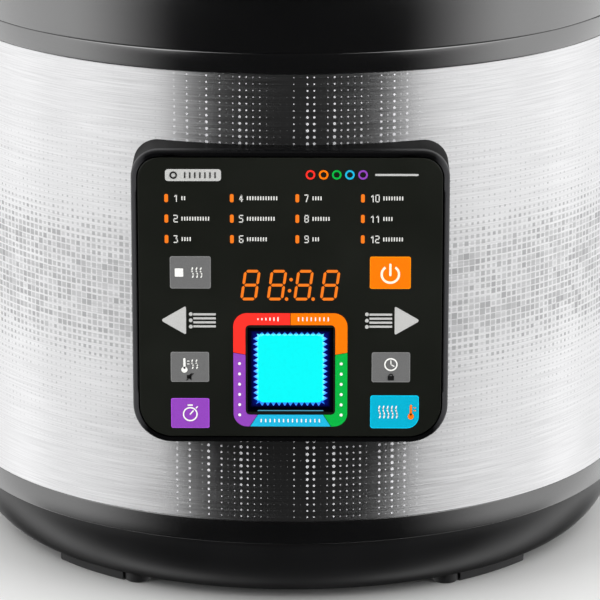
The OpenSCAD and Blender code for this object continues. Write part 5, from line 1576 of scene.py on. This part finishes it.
class SteamValveOperator(bpy.types.Operator):
    """Makes the steam valve's knob with its thumb tab"""

    bl_idname = "cooker.steam_valve"
    bl_label = "Steam valve"

    def execute(self, context):
        low, high = in_mm("valve_knob")
        weight_high = in_mm("valve_weight")[1]
        x, y = upright_middle("valve_weight")
        radius = high.x
        tall = high.z - low.z
        bore = weight_high.x + 0.1
        roof = weight_high.z - low.z + 0.1
        dished = tall - 0.4
        knob = revolved(
            [
                (bore, 0),
                (radius, 0, 1),
                (radius, tall - 4, 2),
                (radius - 3, tall, 1.5),
                (radius - 6, tall, 1),
                (radius - 7, dished, 0.6),
                (0, dished),
                (0, roof),
                (bore, roof),
            ],
            96,
        )
        parts = [knob, self.thumb_tab(bore + 1, radius, high.y - y), *self.ribs(radius - 0.35, tall)]
        body = shifted(joined(*parts), x, y, low.z)
        piece("steam_knob", body, "handle_black", "steam_valve", ["valve_knob"])
        pointer = revolved([(0, 0), (1.4, 0), (1.4, 0.25, 0.1), (0, 0.25)], 32)
        shifted(pointer, x, y + radius - 4.5, high.z - 0.05)
        piece("knob_pointer", pointer, "print_white", "steam_valve")
        return {"FINISHED"}

    def thumb_tab(self, root, radius, reach):
        """A tab that thins towards its end and points to the back."""
        side = [
            (root, 1),
            (reach, 1, 0.8),
            (reach, 5, 1.6),
            (reach - 8, 5.6, 5),
            (radius, 8.6, 4),
            (root, 8.6),
        ]
        half_w = 6
        tab = extruded(side, -half_w, half_w, 6)
        soften(tab, 1.2, lambda edge: edge.verts[0].co.x > 12 * MM, segments=4)
        return shifted(tab, turn=QUARTER_TURN)

    def ribs(self, ring_r, tall):
        """Grip ribs round the knob; the tab takes the place of one."""
        places = 16
        rib_r = 0.7
        made = []
        for number in range(1, places):
            rib = revolved(box_points(0, rib_r, 2, tall - 5, 0.3), 12, segments=2)
            turn = QUARTER_TURN + number * FULL_TURN / places
            made.append(shifted(rib, ring_r * math.cos(turn), ring_r * math.sin(turn)))
        return made


class CupOperator(bpy.types.Operator):
    """Makes the clear condensation cup behind the drum"""

    bl_idname = "cooker.cup"
    bl_label = "Condensation cup"

    def execute(self, context):
        low, high = in_mm("condensation_cup")
        wall = 1.5
        bulge = 2
        corner = 3
        flat = high.y - bulge

        def at_back(vert):
            return vert.co.z > (flat - 0.1) * MM

        bm = bmesh.new()
        outline(bm, [(low.x, low.y), (high.x, low.y), (high.x, flat, corner), (low.x, flat, corner)], 6)
        back = [edge for edge in bm.edges if all(at_back(vert) for vert in edge.verts)]
        bmesh.ops.subdivide_edges(bm, edges=back, cuts=15, use_grid_fill=False)
        for vert in bm.verts:
            if at_back(vert):
                vert.co.z += bulge * MM * (1 - (vert.co.x / (high.x * MM)) ** 2)
        laid(thickened(bm, low.z, high.z))
        floor = (low.z + 1) * MM
        soften(bm, 2, lambda edge: max(vert.co.z for vert in edge.verts) < floor, segments=4)

        # The top face becomes the rim and is pushed down to hollow the cup
        lid = [face for face in bm.faces if face.calc_center_median().z > (high.z - 0.01) * MM]
        bmesh.ops.inset_region(
            bm, faces=lid, thickness=wall * MM, use_even_offset=True, use_boundary=True
        )
        pushed = bmesh.ops.extrude_face_region(bm, geom=lid)
        down = Vector((0, 0, (low.z - high.z + wall) * MM))
        bmesh.ops.translate(bm, verts=vertices_in(pushed["geom"]), vec=down)
        bmesh.ops.delete(bm, geom=lid, context="FACES")
        piece("clear_cup", bm, "cup_clear", "cup", ["condensation_cup"])
        return {"FINISHED"}


# ---- Stage ----


class StageOperator(bpy.types.Operator):
    """Makes the floor, the studio light and the camera"""

    bl_idname = "cooker.stage"
    bl_label = "Stage"

    def execute(self, context):
        studio_world(context.scene)
        pale_floor()
        fill_lamp()
        front_camera(context.scene)
        return {"FINISHED"}


def studio_world(scene):
    """A soft studio: dark where the camera stands and pale at the sides. Light from above, from just
    below level and from far below is set apart, because the steel, the glossy trims and the base each
    take most of theirs from one of them."""
    world = bpy.data.worlds.new("soft_studio")
    world.use_nodes = True
    scene.world = world
    tree = world.node_tree
    tree.nodes.clear()
    direction = add(tree, "TexCoord").outputs["Generated"]
    parts = add(tree, "SeparateXYZ", {0: direction})
    height = parts.outputs["Z"]
    front = add(tree, "Math", (parts.outputs["Y"], -1.0), operation="MULTIPLY")
    turn = add(tree, "Math", (parts.outputs["X"], front), operation="ARCTAN2")
    side = add(tree, "Math", {0: turn}, operation="ABSOLUTE")

    # Each one: what it follows, where it begins and ends, in degrees from the front, and its two levels
    turns = {
        "rising": (30, 46, 0.013, 2.6),
        "falling": (50, 104, 1.0, 0.45),
        "lower": (36, 82, 0.012, 1.3),
        "flank": (95, 112, 0.02, 1.6),
        "behind": (122, 140, 1.0, 0.02),
    }
    ramps = {
        name: (side, math.radians(begin), math.radians(end), first, last)
        for name, (begin, end, first, last) in turns.items()
    }
    ramps["sunk"] = (height, math.sin(math.radians(-33)), math.sin(math.radians(-18)), 0.0, 1.0)
    ramps["level"] = (height, -0.1, 0.1, 0.0, 1.0)
    made = {
        name: add(tree, "MapRange", values, interpolation_type="SMOOTHSTEP")
        for name, values in ramps.items()
    }
    upper = add(tree, "Math", (made["rising"], made["falling"]), operation="MULTIPLY")
    deep = add(tree, "Math", (made["flank"], made["behind"]), operation="MULTIPLY")
    below = add(tree, "Mix", {0: made["sunk"], 2: deep, 3: made["lower"]}, data_type="FLOAT")
    strength = add(tree, "Mix", {0: made["level"], 2: below, 3: upper}, data_type="FLOAT")
    studio = add(tree, "Background", {"Color": opaque("#ffffff"), "Strength": strength})
    backdrop = add(tree, "Background", {"Color": opaque("#eeeeee"), "Strength": 1.0})
    seen = add(tree, "LightPath").outputs["Is Camera Ray"]
    mixed = add(tree, "MixShader", (seen, studio, backdrop))
    add(tree, "OutputWorld", {"Surface": mixed})


def pale_floor():
    """A plain pale floor under the feet, which polished pieces don't mirror."""
    fibre_clump = 120 * MM
    bm = bmesh.new()
    bmesh.ops.create_grid(bm, x_segments=1, y_segments=1, size=6.0)
    floor = linked_object("studio_floor", bm)
    material, tree, shader, place = shader_for("paper_background_matt", Roughness=0.9)
    fibre = add(tree, "TexNoise", {"Vector": place, "Scale": 1 / fibre_clump, "Detail": 4.0})
    tone = add(tree, "ValToRGB", {0: fibre}, ((0.3, opaque("#e4e4e3")), (0.7, opaque("#e9e9e8"))))
    wire(tree, shader, Base_Color=tone)
    floor.data.materials.append(material)
    floor.visible_glossy = False


def fill_lamp():
    """A broad soft lamp above the camera that lights the prints and leaves no reflection."""
    lamp = bpy.data.lights.new("fill_lamp", "AREA")
    lamp.shape = "RECTANGLE"
    lamp.size = 1.6
    lamp.size_y = 1.0
    lamp.energy = 12.5
    holder = bpy.data.objects.new("fill_lamp", lamp)
    bpy.context.scene.collection.objects.link(holder)
    holder.location = (0.0, -1.9, 1.3)
    holder.rotation_euler = (math.radians(60), 0.0, 0.0)
    holder.visible_glossy = False
    holder.visible_camera = False


def front_camera(scene):
    """The camera in front of the panel, a little above it and a little to its right."""
    distance = 1.6675
    height = 0.5655
    beside = 0.00275
    turn = math.radians(0.41)
    dip = math.radians(15.8)
    data = bpy.data.cameras.new("front_camera")
    data.sensor_width = 36.0
    data.lens = 236.3
    data.clip_end = 50.0
    data.shift_y = -0.0025
    camera = bpy.data.objects.new("front_camera", data)
    scene.collection.objects.link(camera)
    camera.location = Matrix.Rotation(turn, 4, "Z") @ Vector((beside, -distance, height))
    camera.rotation_euler = (QUARTER_TURN - dip, 0.0, turn)
    scene.camera = camera
    scene.view_settings.view_transform = "Standard"


OPERATORS = [
    BaseOperator,
    TrimOperator,
    SideHandlesOperator,
    PanelOperator,
    KeysOperator,
    MarksOperator,
    RingOperator,
    LidOperator,
    SteamValveOperator,
    CupOperator,
    StageOperator,
]


class CookerPanel(bpy.types.Panel):
    """Sizes, colours and one button for each group of pieces"""

    bl_idname = "VIEW3D_PT_cooker"
    bl_label = "Electric pressure cooker"
    bl_space_type = "VIEW_3D"
    bl_region_type = "UI"
    bl_category = "Cooker"

    def draw(self, context):
        scene = context.scene
        for title, values in (("Sizes", scene.cooker_sizes), ("Colours", scene.cooker_colours)):
            box = self.layout.box()
            box.label(text=title)
            for name in values.bl_rna.properties.keys():
                if name not in ("rna_type", "name"):
                    box.prop(values, name)
        for cls in OPERATORS:
            self.layout.operator(cls.bl_idname)


CLASSES = [CookerSizes, CookerColours, *OPERATORS, CookerPanel]


def register():
    for cls in CLASSES:
        bpy.utils.register_class(cls)
    bpy.types.Scene.cooker_sizes = PointerProperty(type=CookerSizes)
    bpy.types.Scene.cooker_colours = PointerProperty(type=CookerColours)


def unregister():
    del bpy.types.Scene.cooker_colours
    del bpy.types.Scene.cooker_sizes
    for cls in reversed(CLASSES):
        bpy.utils.unregister_class(cls)


def main():
    register()
    scene = bpy.context.scene
    make_finishes(scene.cooker_sizes, scene.cooker_colours)
    finish_frame_nodes()
    for cls in OPERATORS:
        group, action = cls.bl_idname.split(".")
        getattr(getattr(bpy.ops, group), action)()


if __name__ == "__main__":
    main()
